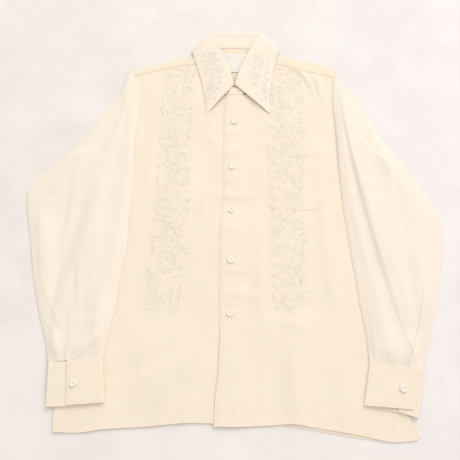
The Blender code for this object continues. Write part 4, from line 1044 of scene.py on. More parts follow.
collar_stand = dress("collar_stand", middle, COLLAR_CREAM, "collar_cloth", uv=arc_map(middle),
                     thick=0.8 - 0.4 * np.exp(-np.arange(12) / 0.7)[None, :])
stand_rows = [middle[8:-8, k, :2] for k in (1, 2, 10)]

# %% [markdown]
# ## Buttons
# Each button is turned from white plastic, with a rim, a dish and four holes, and is sewn on
# with two bars of thread. A cylinder with booleans could make it, but one grid whose height
# depends on radius and angle gives rim, dish and holes in one closed shell. The thread holds it
# just off the placket.

# %% Sizes of the buttons
BUTTON_RADIUS = 6.0
BUTTON_HEIGHT = 2.4
HOLE_REACH = 1.45         # from a button's middle to its holes
# Middles of the buttons
FRONT_BUTTONS = ((5, 172), (2, 72), (2, -17), (3, -114), (3, -208))
CUFF_BUTTONS = {"button_cuff_left": (-241.5, -327), "button_cuff_right": (278, -325)}
print("buttons:", 2 * BUTTON_RADIUS, "mm wide")


# %% A button and its thread
def strand_faces(index, looped=False):
    """Outward faces of a strand: quads between its rows of points, and a flat cap at each end."""
    ring = np.concatenate([index, index[..., :1]], -1)
    if looped:
        ring = np.concatenate([ring, ring[..., :1, :]], -2)
    quads = np.stack([ring[..., :-1, :-1], ring[..., :-1, 1:], ring[..., 1:, 1:], ring[..., 1:, :-1]], -1)
    if looped:
        return [quads.reshape(-1, 4)]
    caps = np.concatenate([index[..., 0, ::-1].reshape(-1, index.shape[-1]),
                           index[..., -1, :].reshape(-1, index.shape[-1])])
    return [quads.reshape(-1, 4), caps]


def button_mesh(x, y, z, turn):
    """A button's upper face z(r, angle) with four holes, its side and its flat back, as one grid."""
    reach = np.concatenate([np.linspace(0.02, 3.4, 24),
                            [3.7, 4.0, 4.3, 4.6, 4.9, 5.2, 5.45, 5.6, BUTTON_RADIUS]])
    angle = np.linspace(0, math.tau, 72, endpoint=False)
    r, a = np.meshgrid(reach, angle, indexing="ij")
    top = BUTTON_HEIGHT - 0.35 * (1 - smooth(r, 3.6, 4.6)) - 0.5 * smooth(r, 5.1, BUTTON_RADIUS) ** 2
    for k in range(4):
        hole = math.pi / 4 + k * math.pi / 2
        away = np.hypot(r * np.cos(a) - HOLE_REACH * math.cos(hole),
                        r * np.sin(a) - HOLE_REACH * math.sin(hole))
        top = top - 0.5 * (1 - smooth(away, 0.55, 0.85))
    side_r = np.array([BUTTON_RADIUS, BUTTON_RADIUS, BUTTON_RADIUS - 0.25, BUTTON_RADIUS - 0.9, 3.0, 0.02])
    side_z = np.array([BUTTON_HEIGHT - 1.0, 0.9, 0.35, 0.0, 0.0, 0.0])
    r = np.vstack([r, side_r[:, None] + 0 * r[:6]])
    high = np.vstack([top, side_z[:, None] + 0 * top[:6]])
    around = np.broadcast_to(angle + turn, r.shape)
    points = np.stack([x + r * np.cos(around), y + r * np.sin(around), z + high], -1)
    index = np.arange(r.size).reshape(r.shape)
    index = np.concatenate([index, index[:, :1]], 1)
    faces = np.stack([index[:-1, :-1], index[1:, :-1], index[1:, 1:], index[:-1, 1:]], -1).reshape(-1, 4)
    return metres(points.reshape(-1, 3)), [faces, index[:1, :-1], index[-1:, -2::-1]]


def thread_bars(x, y, z, turn):
    """Two half-round bars of thread across the holes."""
    points, faces = [], []
    t = np.linspace(-1, 1, 9)[:, None]
    a = np.linspace(0, math.pi, 6)[None, :]
    for side in (-1, 1):
        across = side * 1.03 + 0.42 * np.cos(a) + 0 * t
        along = 1.03 * t + 0 * a
        high = BUTTON_HEIGHT - 0.5 + 0.45 * np.sin(a) * np.cos(t * 1.2)
        px = x + along * math.cos(turn) - across * math.sin(turn)
        py = y + along * math.sin(turn) + across * math.cos(turn)
        faces += strand_faces(np.arange(54).reshape(9, 6) + 54 * len(points))
        points.append(np.stack([px, py, z + high], -1).reshape(-1, 3))
    return metres(np.concatenate(points)), faces


print("one button:", len(button_mesh(0, 0, 0, 0)[0]), "points")

# %% Buttons
button_places = {}
for k, (x, y) in enumerate(FRONT_BUTTONS):
    cloth = placket_mid(np.array([[float(x)]]), np.array([[float(y)]]), np.array([[12.0]]))[0, 0]
    button_places["button_%d" % (k + 1)] = (x, y, cloth + DOUBLE / 2 + 0.25)
for name, (x, y) in CUFF_BUTTONS.items():
    button_places[name] = (x, y, 2 * STEP + 4.7 + 0.7 + 0.3)
buttons, button_threads = {}, {}
for k, (name, place) in enumerate(button_places.items()):
    turn = 0.35 * math.sin(5.0 * k + 1.0)
    points, faces = button_mesh(*place, turn)
    buttons[name] = add_piece("shirt_" + name, points, faces, [BUTTON_WHITE], points[:, :2] / MM, 45.0)
    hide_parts(name)
    points, faces = thread_bars(*place, turn)
    button_threads[name] = add_piece("shirt_%s_thread" % name, points, faces, [WHITE_THREAD],
                                     points[:, :2] / MM)
print("buttons:", len(buttons), "each", triangles(buttons["button_1"]), "triangles")

# %% [markdown]
# ## Laying thread on the cloth
# Sewing and embroidery are threads that lie on cloth. Hair or curve objects could follow it, but
# here threads are drawn flat, and each of their points is dropped straight down on to the cloth
# piece that carries it. So they follow every fold and end at the piece's edge, and a thread is
# a low half round of a few points, carried along its line.


# %% Dropping points on the cloth
def ground(*pieces):
    """A search tree over the faces of finished pieces."""
    points, faces = [], []
    for piece in pieces:
        base = len(points)
        points += [v.co.copy() for v in piece.data.vertices]
        faces += [[base + i for i in p.vertices] for p in piece.data.polygons]
    return BVHTree.FromPolygons(points, faces)


def drop(tree, plan):
    """Height of the highest cloth at each place, in millimetres, and nan beside the cloth."""
    above = metres(np.column_stack([plan, np.full(len(plan), 80.0)]))
    hits = (tree.ray_cast(Vector(place), Vector((0, 0, -1)))[0] for place in above)
    return np.array([np.nan if hit is None else hit.z / MM for hit in hits])


def even(points, step, closed=False):
    """Points at even steps along a drawn line."""
    points = np.asarray(points, float)
    if closed:
        points = np.vstack([points, points[:1]])
    lengths = np.concatenate([[0], np.cumsum(np.linalg.norm(np.diff(points, axis=0), axis=1))])
    at = np.linspace(0, lengths[-1], max(3, int(round(lengths[-1] / step)) + 1))
    return np.column_stack([np.interp(at, lengths, points[:, k]) for k in range(2)])


band = drop(ground(placket), even([(5, -380), (5, 230)], 10.0))
print("height of the placket:", round(band.min(), 1), "to", round(band.max(), 1), "mm")

# %% Strands
THREAD = 0.68             # width of an embroidered outline's thread
STRAND_STEP = 1.3         # between the rows of points of a thread
SUNK = 0.03               # how deep raised threads sit in the cloth


def strand(p, h, width, looped):
    """One raised thread: five points across each place, on a half ellipse that tapers at open ends."""
    way = np.roll(p, -1, 0) - np.roll(p, 1, 0) if looped else np.gradient(p, axis=0)
    way /= np.linalg.norm(way, axis=1, keepdims=True)
    from_end = np.minimum(np.arange(len(p)), len(p) - 1 - np.arange(len(p)))
    taper = np.ones(len(p)) if looped else np.minimum(1.0, 0.35 + from_end * 0.45)
    across = np.radians((0, 45, 90, 135, 180))
    half = THREAD * width / 2
    off = (half * taper)[:, None] * np.cos(across)
    up = (half * 0.6 * taper)[:, None] * np.sin(across) - 0.04
    points = np.stack([p[:, 0:1] - way[:, 1:2] * off, p[:, 1:2] + way[:, 0:1] * off, h[:, None] + up], -1)
    length = np.arange(len(p))[:, None] * STRAND_STEP
    return points.reshape(-1, 3), np.stack(np.broadcast_arrays(length, off), -1).reshape(-1, 2)


def strand_arrays(tree, lines):
    """Raised threads along drawn lines, each broken where its cloth ends or steps."""
    points, faces, maps = [], [], []
    base = 0
    for line in lines:
        plan = even(line["points"], STRAND_STEP, line["closed"])
        z = drop(tree, plan)
        good = ~np.isnan(z)
        good[1:] &= ~(np.abs(np.diff(np.nan_to_num(z, nan=-99))) > 1.6)
        for run in np.split(np.arange(len(plan)), np.where(np.diff(good.astype(int)) != 0)[0] + 1):
            if not good[run[0]] or len(run) < 3:
                continue
            looped = line["closed"] and len(run) == len(plan)
            run = run[:-1] if looped else run
            made, laid = strand(plan[run], z[run], line["width"], looped)
            points.append(made)
            maps.append(laid)
            faces += strand_faces(np.arange(len(made)).reshape(-1, 5) + base, looped)
            base += len(made)
    return points, faces, maps, base


print("thread:", THREAD, "mm wide, with a row of points every", STRAND_STEP, "mm")

# %% [markdown]
# ## Seams
# All seams are sewn by machine in cream thread: hems, both edges of the placket, the pocket,
# the yoke, armholes, cuffs and the collar's edge. A bump could show them, but small strands catch
# the light at every stitch. Each line follows its edge, moved in by the width of the seam.

# %% Stitches
STITCH_PITCH = 3.1        # from one machine stitch to the next
STITCH_SHARE = 0.74       # of the pitch that the stitch takes up
STITCH_WIDTH = 0.5
print("machine stitches:", round(25.4 / STITCH_PITCH, 1), "to the inch")


def stitch_piece(name, piece, lines):
    """Rows of machine stitches: short strands with a gap between each and the next."""
    dashes = []
    for line in lines:
        fine = even(line, 0.1)
        lengths = np.concatenate([[0], np.cumsum(np.linalg.norm(np.diff(fine, axis=0), axis=1))])
        for start in np.arange(0.5, lengths[-1] - STITCH_PITCH * STITCH_SHARE, STITCH_PITCH):
            at = start + np.array([0, 0.5, 1.0]) * STITCH_PITCH * STITCH_SHARE
            dashes.append(np.column_stack([np.interp(at, lengths, fine[:, k]) for k in range(2)]))
    dashes = np.array(dashes)
    z = drop(ground(piece), dashes.reshape(-1, 2)).reshape(len(dashes), 3)
    good = ~np.isnan(z).any(1) & (np.ptp(np.nan_to_num(z), axis=1) < 1.5)
    dashes, z = dashes[good], z[good]
    way = dashes[:, 2] - dashes[:, 0]
    way /= np.linalg.norm(way, axis=1, keepdims=True)
    side = np.stack([-way[:, 1], way[:, 0]], 1)
    angles = np.radians((0, 60, 120, 180))
    taper = np.array([0.45, 1.0, 0.45])
    off = (STITCH_WIDTH / 2 * taper)[:, None] * np.cos(angles)
    up = (STITCH_WIDTH * 0.42 * taper)[:, None] * np.sin(angles) - SUNK
    plan = dashes[:, :, None, :] + side[:, None, None, :] * off[None, :, :, None]
    points = np.concatenate([plan, (z[:, :, None] + up[None])[..., None]], -1).reshape(-1, 3)
    faces = strand_faces(np.arange(len(points)).reshape(len(dashes), 3, 4))
    print("sewing_" + name, len(dashes), "stitches")
    return add_piece("sewing_" + name, metres(points), faces, [SEAM_THREAD], points[:, :2], 80.0)


# %% Seams of the body
def places(xs, ys):
    """Places from x and y, either of which may be one number."""
    return np.column_stack(np.broadcast_arrays(xs, ys))


SEAM_INSET = 4.5          # sewing to the edge on the collar and the cuffs
HEM_STITCH = HEM - 1.4
xs, top_xs = np.linspace(-200, 10, 80), np.linspace(-204, -66, 60)
sewing = {"front_left": stitch_piece("front_left", front_left, [
    places(xs, read(HEM_LEFT, xs) + HEM_STITCH), places(top_xs, front_top(-1, top_xs) - 1.6)])}
xs, top_xs = np.linspace(20, 292, 90), np.linspace(66, 205, 60)
sewing["front_right"] = stitch_piece("front_right", front_right, [
    places(xs, read(HEM_RIGHT, xs) + HEM_STITCH), places(top_xs, front_top(1, top_xs) - 1.6),
    np.array([(256, -402), (256, -380)])])
ys = np.linspace(-384, 234, 120)
edge_x = read(PLACKET_EDGE, ys)
sewing["placket"] = stitch_piece("placket", placket, [
    places(edge_x + 5.0, ys), places(edge_x + PLACKET_WIDTH - 2.0, ys),
    places(edge_x[3:5].mean() + np.linspace(2, 35, 12), -387 + HEM_STITCH)])
left_x, right_x, top, bottom, corner = POCKET.values()
sewing["pocket"] = stitch_piece("pocket", pocket, [
    np.array([(left_x + 1.8, top - 1), (left_x + 1.8, bottom + corner + 0.8),
              (left_x + corner + 0.8, bottom + 1.8), (right_x - corner - 0.8, bottom + 1.8),
              (right_x - 1.8, bottom + corner + 0.8), (right_x - 1.8, top - 1)]),
    np.array([(left_x + 2, top - 25.5), (right_x - 2, top - 25.5)])])
left_xs, right_xs, back_xs = np.linspace(-204, -70, 60), np.linspace(72, 206, 60), np.linspace(-40, 48, 30)
sewing["yoke"] = stitch_piece("yoke", yoke, [
    places(left_xs, yoke_front(left_xs) + 2.2), places(right_xs, yoke_front(right_xs) + 2.2),
    places(back_xs, read(SHOULDER, back_xs) - 12.0)])
sewing["stand"] = stitch_piece("stand", collar_stand, stand_rows)
sewing["sleeve_left"] = stitch_piece("sleeve_left", sleeve_left, [left_middle[3, 1:70, :2]])
sewing["sleeve_right"] = stitch_piece("sleeve_right", sleeve_right, [right_middle[3, 1:70, :2]])


# %% Seams of the cuffs and the collar
def cuff_lines(name):
    """Sewing along the upper flap's edges, moved in from them."""
    inner_top, outer_top = mouth_ends(SLEEVES[name])
    inner_bottom, outer_bottom = np.asarray(SLEEVES[name]["cuff_bottom"], float)
    flap = dict(zip(CUFF_COLUMNS, SLEEVES[name]["cuff"][0]))
    flap_top = inner_top + flap["top_share"] * (outer_top - inner_top)
    flap_bottom = inner_bottom + flap["bottom_share"] * (outer_bottom - inner_bottom) - (0, flap["drop"])
    lines = []
    for a, b in ((inner_top, flap_top), (flap_top, flap_bottom), (flap_bottom, inner_bottom)):
        way = (b - a) / np.linalg.norm(b - a)
        side = np.array([way[1], -way[0]])
        side = side * np.sign(np.dot((inner_top + flap_bottom) / 2 - a, side))
        lines.append(np.array([a + (side + way) * SEAM_INSET, b + (side - way) * SEAM_INSET]))
    return lines


def leaf_line(edge_xy, inner_xy):
    """Sewing along an edge of the leaf, moved in from it towards another line."""
    way = inner_xy - edge_xy
    return edge_xy + way / np.linalg.norm(way, axis=1, keepdims=True) * SEAM_INSET


sewing["cuff_left"] = stitch_piece("cuff_left", cuff_left, cuff_lines("left"))
sewing["cuff_right"] = stitch_piece("cuff_right", cuff_right, cuff_lines("right"))
high_rows = np.where(leaf_middle[:, -1, 2] > 3.4)[0]
split = np.where(np.diff(high_rows) > 1)[0][0]
spans = ((high_rows[0] + 3, high_rows[split]), (high_rows[split + 1], high_rows[-1] - 2))
outer_lines = [leaf_line(leaf_middle[first:last, -1, :2], leaf_middle[first:last, -12, :2])
               for first, last in spans]
front_lines = [leaf_line(leaf_middle[row, 14:-1, :2], leaf_middle[row + inward, 14:-1, :2])[:-3]
               for row, inward in ((0, 12), (-1, -12))]
sewing["collar"] = stitch_piece("collar", collar, outer_lines + front_lines)

# %% [markdown]
# ## Embroidery: flowers
# Two columns of a climbing stem with six-petalled flowers, leaves, buds and curled tendrils run
# down the fronts, and a spray lies on each collar leaf. Such motifs are sewn as outlines of pale
# grey-brown thread, petals filled with flat white stitches, and small wound knots. An image could
# show them, but here each motif is a small function that gives its lines, its filled petals and
# its knots, so that it can be drawn at any place, size and turn.


# %% Flowers
def turned(points, angle, at):
    """Points turned about (0, 0) and then moved in plan."""
    c, s = math.cos(angle), math.sin(angle)
    return np.asarray(points, float) @ np.array([[c, s], [-s, c]]) + at


def thread(points, closed=False, width=1.0):
    """One line of thread: its places, whether it is a ring, and its width as a share of THREAD."""
    return {"points": points, "closed": closed, "width": width}


def petal_outline(length, width, notch=0.06):
    """A closed petal from (0, 0) outward: half-sine width, fullest beyond the middle, tip notched."""
    t = np.linspace(0, math.tau, 29)[:-1]
    u = (1 - np.cos(t)) / 2
    return np.column_stack([length * (u - notch * np.exp(-((t - math.pi) / 0.35) ** 2)),
                            width / 2 * np.sin(t) * (0.55 + 0.55 * u)])


def flower(x, y, size, turn):
    """Six outlined petals round a ringed heart; returns lines, filled petals and knots."""
    lines, pads, knots = [], [], []
    heart = 0.15 * size
    length = size * 0.5 - heart * 0.6
    width = size * 0.44
    for angle in turn + np.arange(6) * math.tau / 6:
        root = np.array([x + heart * 0.75 * math.cos(angle), y + heart * 0.75 * math.sin(angle)])
        lines.append(thread(turned(petal_outline(length, width), angle, root), True))
        lines.append(thread(turned([(length * 0.12, 0), (length * 0.55, 0.2)], angle, root), width=0.6))
        pads.append((*root, angle, length * 0.9, width * 0.72))
    around = np.linspace(0, math.tau, 17)[:-1]
    ring = np.column_stack([np.cos(around), np.sin(around)]) * heart * 0.62
    lines.append(thread(ring + (x, y), True, 0.8))
    for angle in turn + (np.arange(6) + 0.5) * math.tau / 6:
        knots.append((x + heart * 1.05 * math.cos(angle), y + heart * 1.05 * math.sin(angle), 0.85))
    return lines, pads, knots + [(x, y, 1.1)]


def small_flower(at, size, turn):
    """Five round petals, outlined, on one knot."""
    lines, pads = [], []
    for angle in turn + np.arange(5) * math.tau / 5:
        lines.append(thread(turned(petal_outline(size * 0.5, size * 0.42, 0.0), angle, at), True))
        pads.append((*at, angle, size * 0.46, size * 0.3))
    return lines, pads, [(*at, 0.9)]


print("petal outline:", len(petal_outline(1.0, 0.5)), "points")

# %% [markdown]
# ## Embroidery: leaves, buds, tendrils and sprigs
# Between the flowers the columns are filled with small leaves, buds, tendrils and sprigs. Copies
# of one drawn leaf could do it, but formulas keep their thread equally thick at every size.


# %% Leaves, buds, tendrils and sprigs
def leaf(at, length, turn):
    """A pointed leaf: two bowed sides, a midrib and three pairs of slanted veins."""
    t = np.linspace(0, 1, 15)
    half = length * 0.2 * np.sin(math.pi * t) ** 0.85 * (1.15 - 0.45 * t)
    bend = length * 0.06 * np.sin(math.pi * t)
    upper = np.column_stack([length * t, bend + half])
    lower = np.column_stack([length * t, bend - half])[-2:0:-1]
    rib = np.column_stack([length * t, bend])[:-2]
    lines = [thread(turned(np.vstack([upper, lower]), turn, at), True),
             thread(turned(rib, turn, at), width=0.7)]
    for s in (0.22, 0.42, 0.62):
        middle_y = np.interp(s, t, bend)
        for side in (-1, 1):
            end_y = middle_y + side * 0.72 * np.interp(s, t, half)
            vein = [(length * s, middle_y), (length * (s + 0.12), end_y)]
            lines.append(thread(turned(vein, turn, at), width=0.55))
    return lines, [], []


def bud(at, length, turn):
    """A closed bud on its cup, with three knots above it."""
    lines = [thread(turned(petal_outline(length, length * 0.52, 0.0), turn, at), True)]
    for side in (1, -1):
        cup = [(0, 0), (length * 0.25, side * length * 0.3), (length * 0.55, side * length * 0.22)]
        lines.append(thread(turned(cup, turn, at)))
    knots = [(*turned((length * 1.25, side * length * 0.3), turn, at), 0.8) for side in (-1, 0, 1)]
    return lines, [(*at, turn, length * 0.9, length * 0.36)], knots


def curl(at, size, turn):
    """A tendril: a spiral whose radius shrinks evenly towards its middle."""
    t = np.linspace(0, 1, 40)
    angle = 2.25 * math.pi * t
    r = size * (1 - 0.86 * t)
    spiral = np.column_stack([size - r * np.cos(angle), -0.9 * r * np.sin(angle)])
    return [thread(turned(spiral, turn, at), width=0.75)], [], []


def sprig(at, length, turn):
    """A bowed stalk with three pairs of leaflets and one at its tip."""
    t = np.linspace(0, 1, 9)
    stalk = np.column_stack([length * 0.8 * t, length * 0.1 * np.sin(math.pi * t)])
    lines = [thread(turned(stalk, turn, at))]
    small = petal_outline(length * 0.3, length * 0.13, 0.0)
    for share in (0.2, 0.42, 0.64):
        for side in (-1, 1):
            leaflet = turned(small, side * 0.8, (length * share, length * 0.09))
            lines.append(thread(turned(leaflet, turn, at), True, 0.85))
    lines.append(thread(turned(small + (length * 0.78, 0), turn, at), True))
    return lines, [], []


print("threads in a leaf, a bud and a sprig:", [len(shape((0, 0), 10, 0)[0]) for shape in (leaf, bud, sprig)])

# %% [markdown]
# ## Embroidery: the columns
# Each column has a stem, large flowers on it, and small motifs that grow away from it wherever
# there is room. They could be placed one by one, but a search of the free room, with small random
# moves from a fixed seed, fills the column evenly and the same way each time.

# %% Stems and flowers
# Stems as x and y from the bottom up, flowers as x, y, size and turn, and the column's middle and half width
SPRAYS = {
    "left": {
        "stem": ((-104, -204), (-122, -160), (-98, -122), (-92, -74), (-118, -34), (-130, 14), (-108, 52),
                 (-92, 92), (-112, 132), (-124, 170), (-112, 214), (-92, 250), (-96, 300)),
        "flowers": ((-121, -187, 37, 0.2), (-84, -93, 36, 0.5), (-123, 0, 34, 0.0),
                    (-91, 96, 33, 0.4), (-118, 173, 30, 0.8), (-88, 250, 28, 0.1)),
        "centre": {"y": (-210, -60, 60, 200, 310), "x": (-112, -107, -107, -110, -104)},
        "half_width": 30.0, "low": -206, "high": 304, "seed": 7},
    "right": {
        "stem": ((104, -206), (124, -154), (100, -118), (84, -66), (98, -22), (118, 30), (104, 66),
                 (118, 106), (104, 150), (84, 190), (96, 236), (116, 262), (104, 304)),
        "flowers": ((120, -177, 37, 0.1), (87, -89, 36, 0.6), (114, 12, 34, 0.3),
                    (125, 97, 33, 0.9), (88, 190, 30, 0.2), (120, 254, 28, 0.5)),
        "centre": {"y": (-210, -60, 60, 200, 310), "x": (105, 102, 104, 108, 104)},
        "half_width": 31.0, "low": -196, "high": 304, "seed": 9},
    "collar_left": {
        "stem": ((-50, 214), (-42, 240), (-44, 262), (-34, 290), (-48, 316), (-50, 340)),
        "flowers": ((-32, 292, 25, 0.3), (-45, 248, 17, 0.9)),
        "centre": {"y": (214, 260, 340), "x": (-49, -40, -47)},
        "half_width": 14.0, "low": 222, "high": 334, "seed": 11},
    "collar_right": {
        "stem": ((68, 216), (60, 240), (60, 262), (46, 288), (58, 314), (60, 340)),
        "flowers": ((46, 281, 25, 0.0), (62, 246, 17, 0.4)),
        "centre": {"y": (214, 260, 340), "x": (67, 55, 58)},
        "half_width": 14.0, "low": 222, "high": 334, "seed": 13}}
print("large flowers:", {name: len(spray["flowers"]) for name, spray in SPRAYS.items()})


# %% Filling a column
def motif(kind, place, root, room, turn):
    """A small motif of one of six kinds: a small flower on its place, or another from its root."""
    if kind == 4:
        return small_flower(place, room * 2, turn)
    if kind == 1:
        return sprig(root, room * 2, turn)
    if kind == 2:
        return bud(root, room * 1.6, turn)
    if kind == 5:
        return curl(root, room * 0.85, turn)
    return leaf(root, room * 2, turn)


def fill(stem, spray):
    """Motifs wherever a column still has room, each growing away from the stem.

    Places are tried on a slightly uneven grid. The free distance to the flowers, the other
    motifs and the column's edge gives a motif its length. A stalk joins it to the stem where
    the way is short and clear of the large flowers.
    """
    draw = np.random.default_rng(spray["seed"])
    low, high, half_width, flowers = (spray[key] for key in ("low", "high", "half_width", "flowers"))
    taken = [(x, y, size / 2 + 1.0) for x, y, size, turn in flowers]
    lines, pads, knots = [], [], []
    count = 0
    for step, share in ((22.0, 0.56), (14.0, 0.52), (10.0, 0.42)):
        for y in np.arange(low, high, 0.85 * step):
            middle_x = np.interp(y, spray["centre"]["y"], spray["centre"]["x"])
            for x in middle_x + np.linspace(-0.88, 0.88, round(2 * half_width / step) + 1) * half_width:
                px = x + draw.uniform(-0.2, 0.2) * step
                py = y + draw.uniform(-0.2, 0.2) * step
                room = min(np.hypot(px - c[0], py - c[1]) - c[2] for c in taken)
                room = min(room, half_width + 4.0 - abs(px - middle_x), py - low + 4.0, high + 4.0 - py,
                           share * step)
                if room < 3.2:
                    continue
                near = stem[np.argmin(np.hypot(stem[:, 0] - px, stem[:, 1] - py + 8.0))]
                away = math.atan2(py - near[1], px - near[0])
                lean = math.pi / 2 - away
                turn = away + 0.4 * math.atan2(math.sin(lean), math.cos(lean)) + draw.uniform(-0.25, 0.25)
                root = np.array([px - room * math.cos(turn), py - room * math.sin(turn)])
                made = motif(count % 6, (px, py), root, room, turn)
                gap = math.hypot(root[0] - near[0], root[1] - near[1])
                bend = (root + near) / 2 + 0.16 * gap * np.array([math.sin(turn), -math.cos(turn)])
                stalk = resample(np.array([near, bend, root]), 12)
                free = all(np.hypot(*(stalk - f[:2]).T).min() > f[2] * 0.48 for f in flowers)
                if 2.0 < gap < 36.0 and free:
                    made[0].append(thread(stalk, width=0.85))
                for kept, new in zip((lines, pads, knots), made):
                    kept.extend(new)
                taken.append((px, py, room * 0.8))
                count += 1
    return lines, pads, knots


def column(spray):
    """A whole column: flowers, the stem where it is outside them, and what fills the room."""
    stem = spline_rows(spray["stem"], 14)
    clear = np.ones(len(stem), bool)
    for x, y, size, turn in spray["flowers"]:
        clear &= np.hypot(stem[:, 0] - x, stem[:, 1] - y) > size * 0.5
    stretches = np.split(np.arange(len(stem)), np.where(np.diff(clear.astype(int)) != 0)[0] + 1)
    stems = [thread(stem[part], width=1.2) for part in stretches if clear[part[0]] and len(part) > 3]
    return [flower(*row) for row in spray["flowers"]] + [(stems, [], []), fill(stem, spray)]


columns = {name: column(spray) for name, spray in SPRAYS.items()}
print("threads:", {name: sum(len(group[0]) for group in groups) for name, groups in columns.items()})

# %% [markdown]
# ## Embroidery: on the cloth
# Filled petals stand up from the cloth by a quarter of a millimetre, and knots by more than half
# of one. A displacement map could lift them, but real faces also show in the mesh. Both
# are low domes, and the finish of a filled petal runs along it, as its stitches do.


# %% Embroidery
def knots_arrays(tree, knots, base):
    """Small domes of wound thread: rings at 0, 35 and 65 degrees and a point on top."""
    rows = np.radians((0, 35, 65))
    turn = np.linspace(0, math.tau, 8, endpoint=False)
    points, faces, maps = [], [], []
    for (x, y, size), cloth in zip(knots, drop(tree, np.array([k[:2] for k in knots]))):
        if np.isnan(cloth):
            continue
        r = size * np.cos(rows)[:, None]
        high = cloth + (size * 0.6 * np.sin(rows))[:, None] - SUNK + 0 * turn
        dome = np.stack([x + r * np.cos(turn), y + r * np.sin(turn), high], -1).reshape(-1, 3)
        points.append(np.vstack([dome, [x, y, cloth + size * 0.6]]))
        maps.append(points[-1][:, :2])
        index = np.arange(24).reshape(3, 8) + base
        ring = np.concatenate([index, index[:, :1]], 1)
        faces += [np.stack([ring[:-1, :-1], ring[:-1, 1:], ring[1:, 1:], ring[1:, :-1]], -1).reshape(-1, 4),
                  np.stack([ring[-1, :-1], ring[-1, 1:], np.full(8, base + 24)], 1), index[:1, ::-1]]
        base += 25
    return points, faces, maps, base


def pads_arrays(tree, pads, base):
    """Filled petals: low domes whose stitches run along the petal."""
    s, q = np.meshgrid(np.linspace(0.06, 0.97, 9), np.linspace(-1, 1, 7), indexing="ij")
    dome = (0.26 * (1 - q ** 2) * np.sin(math.pi * s) ** 0.5).ravel()
    points, faces, maps = [], [], []
    for x, y, angle, length, width in pads:
        across = q * width / 2 * np.sin(math.pi * s) ** 0.6 * (0.6 + 0.5 * s)
        local = np.stack([s * length, across], -1).reshape(-1, 2)
        plan = turned(local, angle, (x, y))
        z = drop(tree, plan)
        if np.isnan(z).any() or np.ptp(z) > 4.0:
            continue
        points.append(np.column_stack([plan, z + dome - SUNK]))
        maps.append(local[:, ::-1])
        index = np.arange(63).reshape(9, 7) + base
        quads = np.stack([index[:-1, :-1], index[1:, :-1], index[1:, 1:], index[:-1, 1:]], -1)
        rim = np.concatenate([index[::-1, 0], index[0, 1:], index[1:, -1], index[-1, -2:0:-1]])
        faces += [quads.reshape(-1, 4), rim[None]]
        base += 63
    return points, faces, maps, base


def embroidery(name, tree, groups):
    """One embroidered piece on its cloth: outline threads, and white filled petals and knots."""
    lines, pads, knots = ([item for group in groups for item in group[kind]] for kind in range(3))
    points, faces, maps, base = strand_arrays(tree, lines)
    outlines = sum(len(f) for f in faces)
    for lay, items in ((pads_arrays, pads), (knots_arrays, knots)):
        more_points, more_faces, more_maps, base = lay(tree, items, base)
        points, faces, maps = points + more_points, faces + more_faces, maps + more_maps
    white = (np.arange(sum(len(f) for f in faces)) >= outlines).astype(int)
    made = add_piece("embroidery_" + name, metres(np.concatenate(points)), faces,
                     [OUTLINE_THREAD, WHITE_THREAD], np.concatenate(maps), 75.0, white)
    print(made.name, len(lines), "threads,", len(pads), "filled petals,", len(knots), "knots")
    return made


embroidery_left = embroidery("left", ground(front_left), columns["left"])
embroidery_right = embroidery("right", ground(front_right, pocket), columns["right"])
embroidery_collar = embroidery("collar", ground(collar), columns["collar_left"] + columns["collar_right"])

# %% [markdown]
# ## What each cloth piece was cut to
# Cloth is cut flat, and bending doesn't stretch it.


# %% [markdown]
# ## Floor
# The shirt lies on pale limewashed boards, which are so even in the photograph that only soft
# stains and a fine grain show. Real boards could be modelled, but one plane with two noises and a
# slow change of tone, cooler to the right, gives the same look.

# %% Floor
floor_material, tree, shader = finish("limewashed_boards", "#EFE8E2", 0.8, 1.5, {"Specular IOR Level": 0.15})
place = node(tree, "ShaderNodeTexCoord").outputs["Object"]
stain = node(tree, "ShaderNodeTexNoise", {"Vector": place, "Scale": 8.0, "Detail": 9.0, "Roughness": 0.7,
                                          "Distortion": 0.3}).outputs["Fac"]
share = node(tree, "ShaderNodeMapRange", {"Value": stain, "From Min": 0.33, "From Max": 0.67})
across = node(tree, "ShaderNodeSeparateXYZ", {"Vector": place}).outputs["X"]
cool = node(tree, "ShaderNodeMapRange", {"Value": across, "From Min": -0.45, "From Max": 0.45})
tones = [node(tree, "ShaderNodeMix", {"Factor": cool.outputs["Result"], "A": linear(left),
                                      "B": linear(right)}, data_type="RGBA").outputs[2]
         for left, right in (("#EAE2DB", "#EDE6E4"), ("#F5EDE6", "#F7F0EE"))]
mix = node(tree, "ShaderNodeMix", {"Factor": share.outputs["Result"], "A": tones[0], "B": tones[1]},
           data_type="RGBA")
tree.links.new(mix.outputs[2], shader.inputs["Base Color"])
grain = node(tree, "ShaderNodeTexNoise", {"Vector": place, "Scale": 60.0, "Detail": 4.0}).outputs["Fac"]
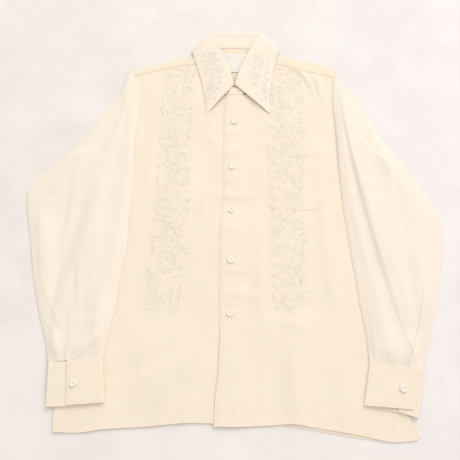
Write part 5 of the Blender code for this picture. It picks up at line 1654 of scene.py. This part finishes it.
bump = node(tree, "ShaderNodeBump", {"Height": grain, "Strength": 0.15, "Distance": 0.001})
tree.links.new(bump.outputs["Normal"], shader.inputs["Normal"])
half = 2.5
corners = [(x * half, y * half, -0.0002) for x, y in ((-1, -1), (1, -1), (1, 1), (-1, 1))]
floor_mesh = bpy.data.meshes.new("floor")
floor_mesh.from_pydata(corners, [], [(0, 1, 2, 3)])
floor_mesh.materials.append(floor_material)
floor = bpy.data.objects.new("floor", floor_mesh)
bpy.context.scene.collection.objects.link(floor)
print("floor:", 2 * half, "m wide")

# %% [markdown]
# ## Light and camera
# The light in the photograph is broad and soft, a little stronger from the collar's end and the
# right, as from a large window. A sun lamp would give hard shadows, so it is one large area lamp
# in a bright even world. The camera looks down from the hem's end, at 66 degrees above the floor.


# %% Light and camera
def area_light(name, at, aim, size, power, colour):
    """A soft square lamp that faces a point."""
    lamp = bpy.data.lights.new(name, "AREA")
    lamp.size = size
    lamp.energy = power
    lamp.color = colour
    made = bpy.data.objects.new(name, lamp)
    made.location = at
    made.rotation_euler = (Vector(aim) - Vector(at)).to_track_quat("-Z", "Y").to_euler()
    bpy.context.scene.collection.objects.link(made)


area_light("window", (2.4, 4.6, 3.9), (0.0, 0.0, 0.0), 4.2, 190.0, (1.0, 0.992, 0.975))
world = bpy.data.worlds.new("room")
bpy.context.scene.world = world
world.use_nodes = True
world.node_tree.nodes["Background"].inputs["Color"].default_value = (1.0, 0.992, 0.986, 1.0)
world.node_tree.nodes["Background"].inputs["Strength"].default_value = 0.812

camera_data = bpy.data.cameras.new("camera")
camera_data.sensor_width = 36.0
camera_data.lens = 43.8
camera = bpy.data.objects.new("camera", camera_data)
bpy.context.scene.collection.objects.link(camera)
camera.matrix_world = (Matrix.Translation((-0.004, -0.4497, 0.9123))
                       @ Matrix.Rotation(math.radians(23.6), 4, "X")
                       @ Matrix.Rotation(math.radians(1.15), 4, "Z"))
bpy.context.scene.camera = camera
bpy.context.scene.view_settings.view_transform = "Standard"
bpy.context.scene.view_settings.look = "None"
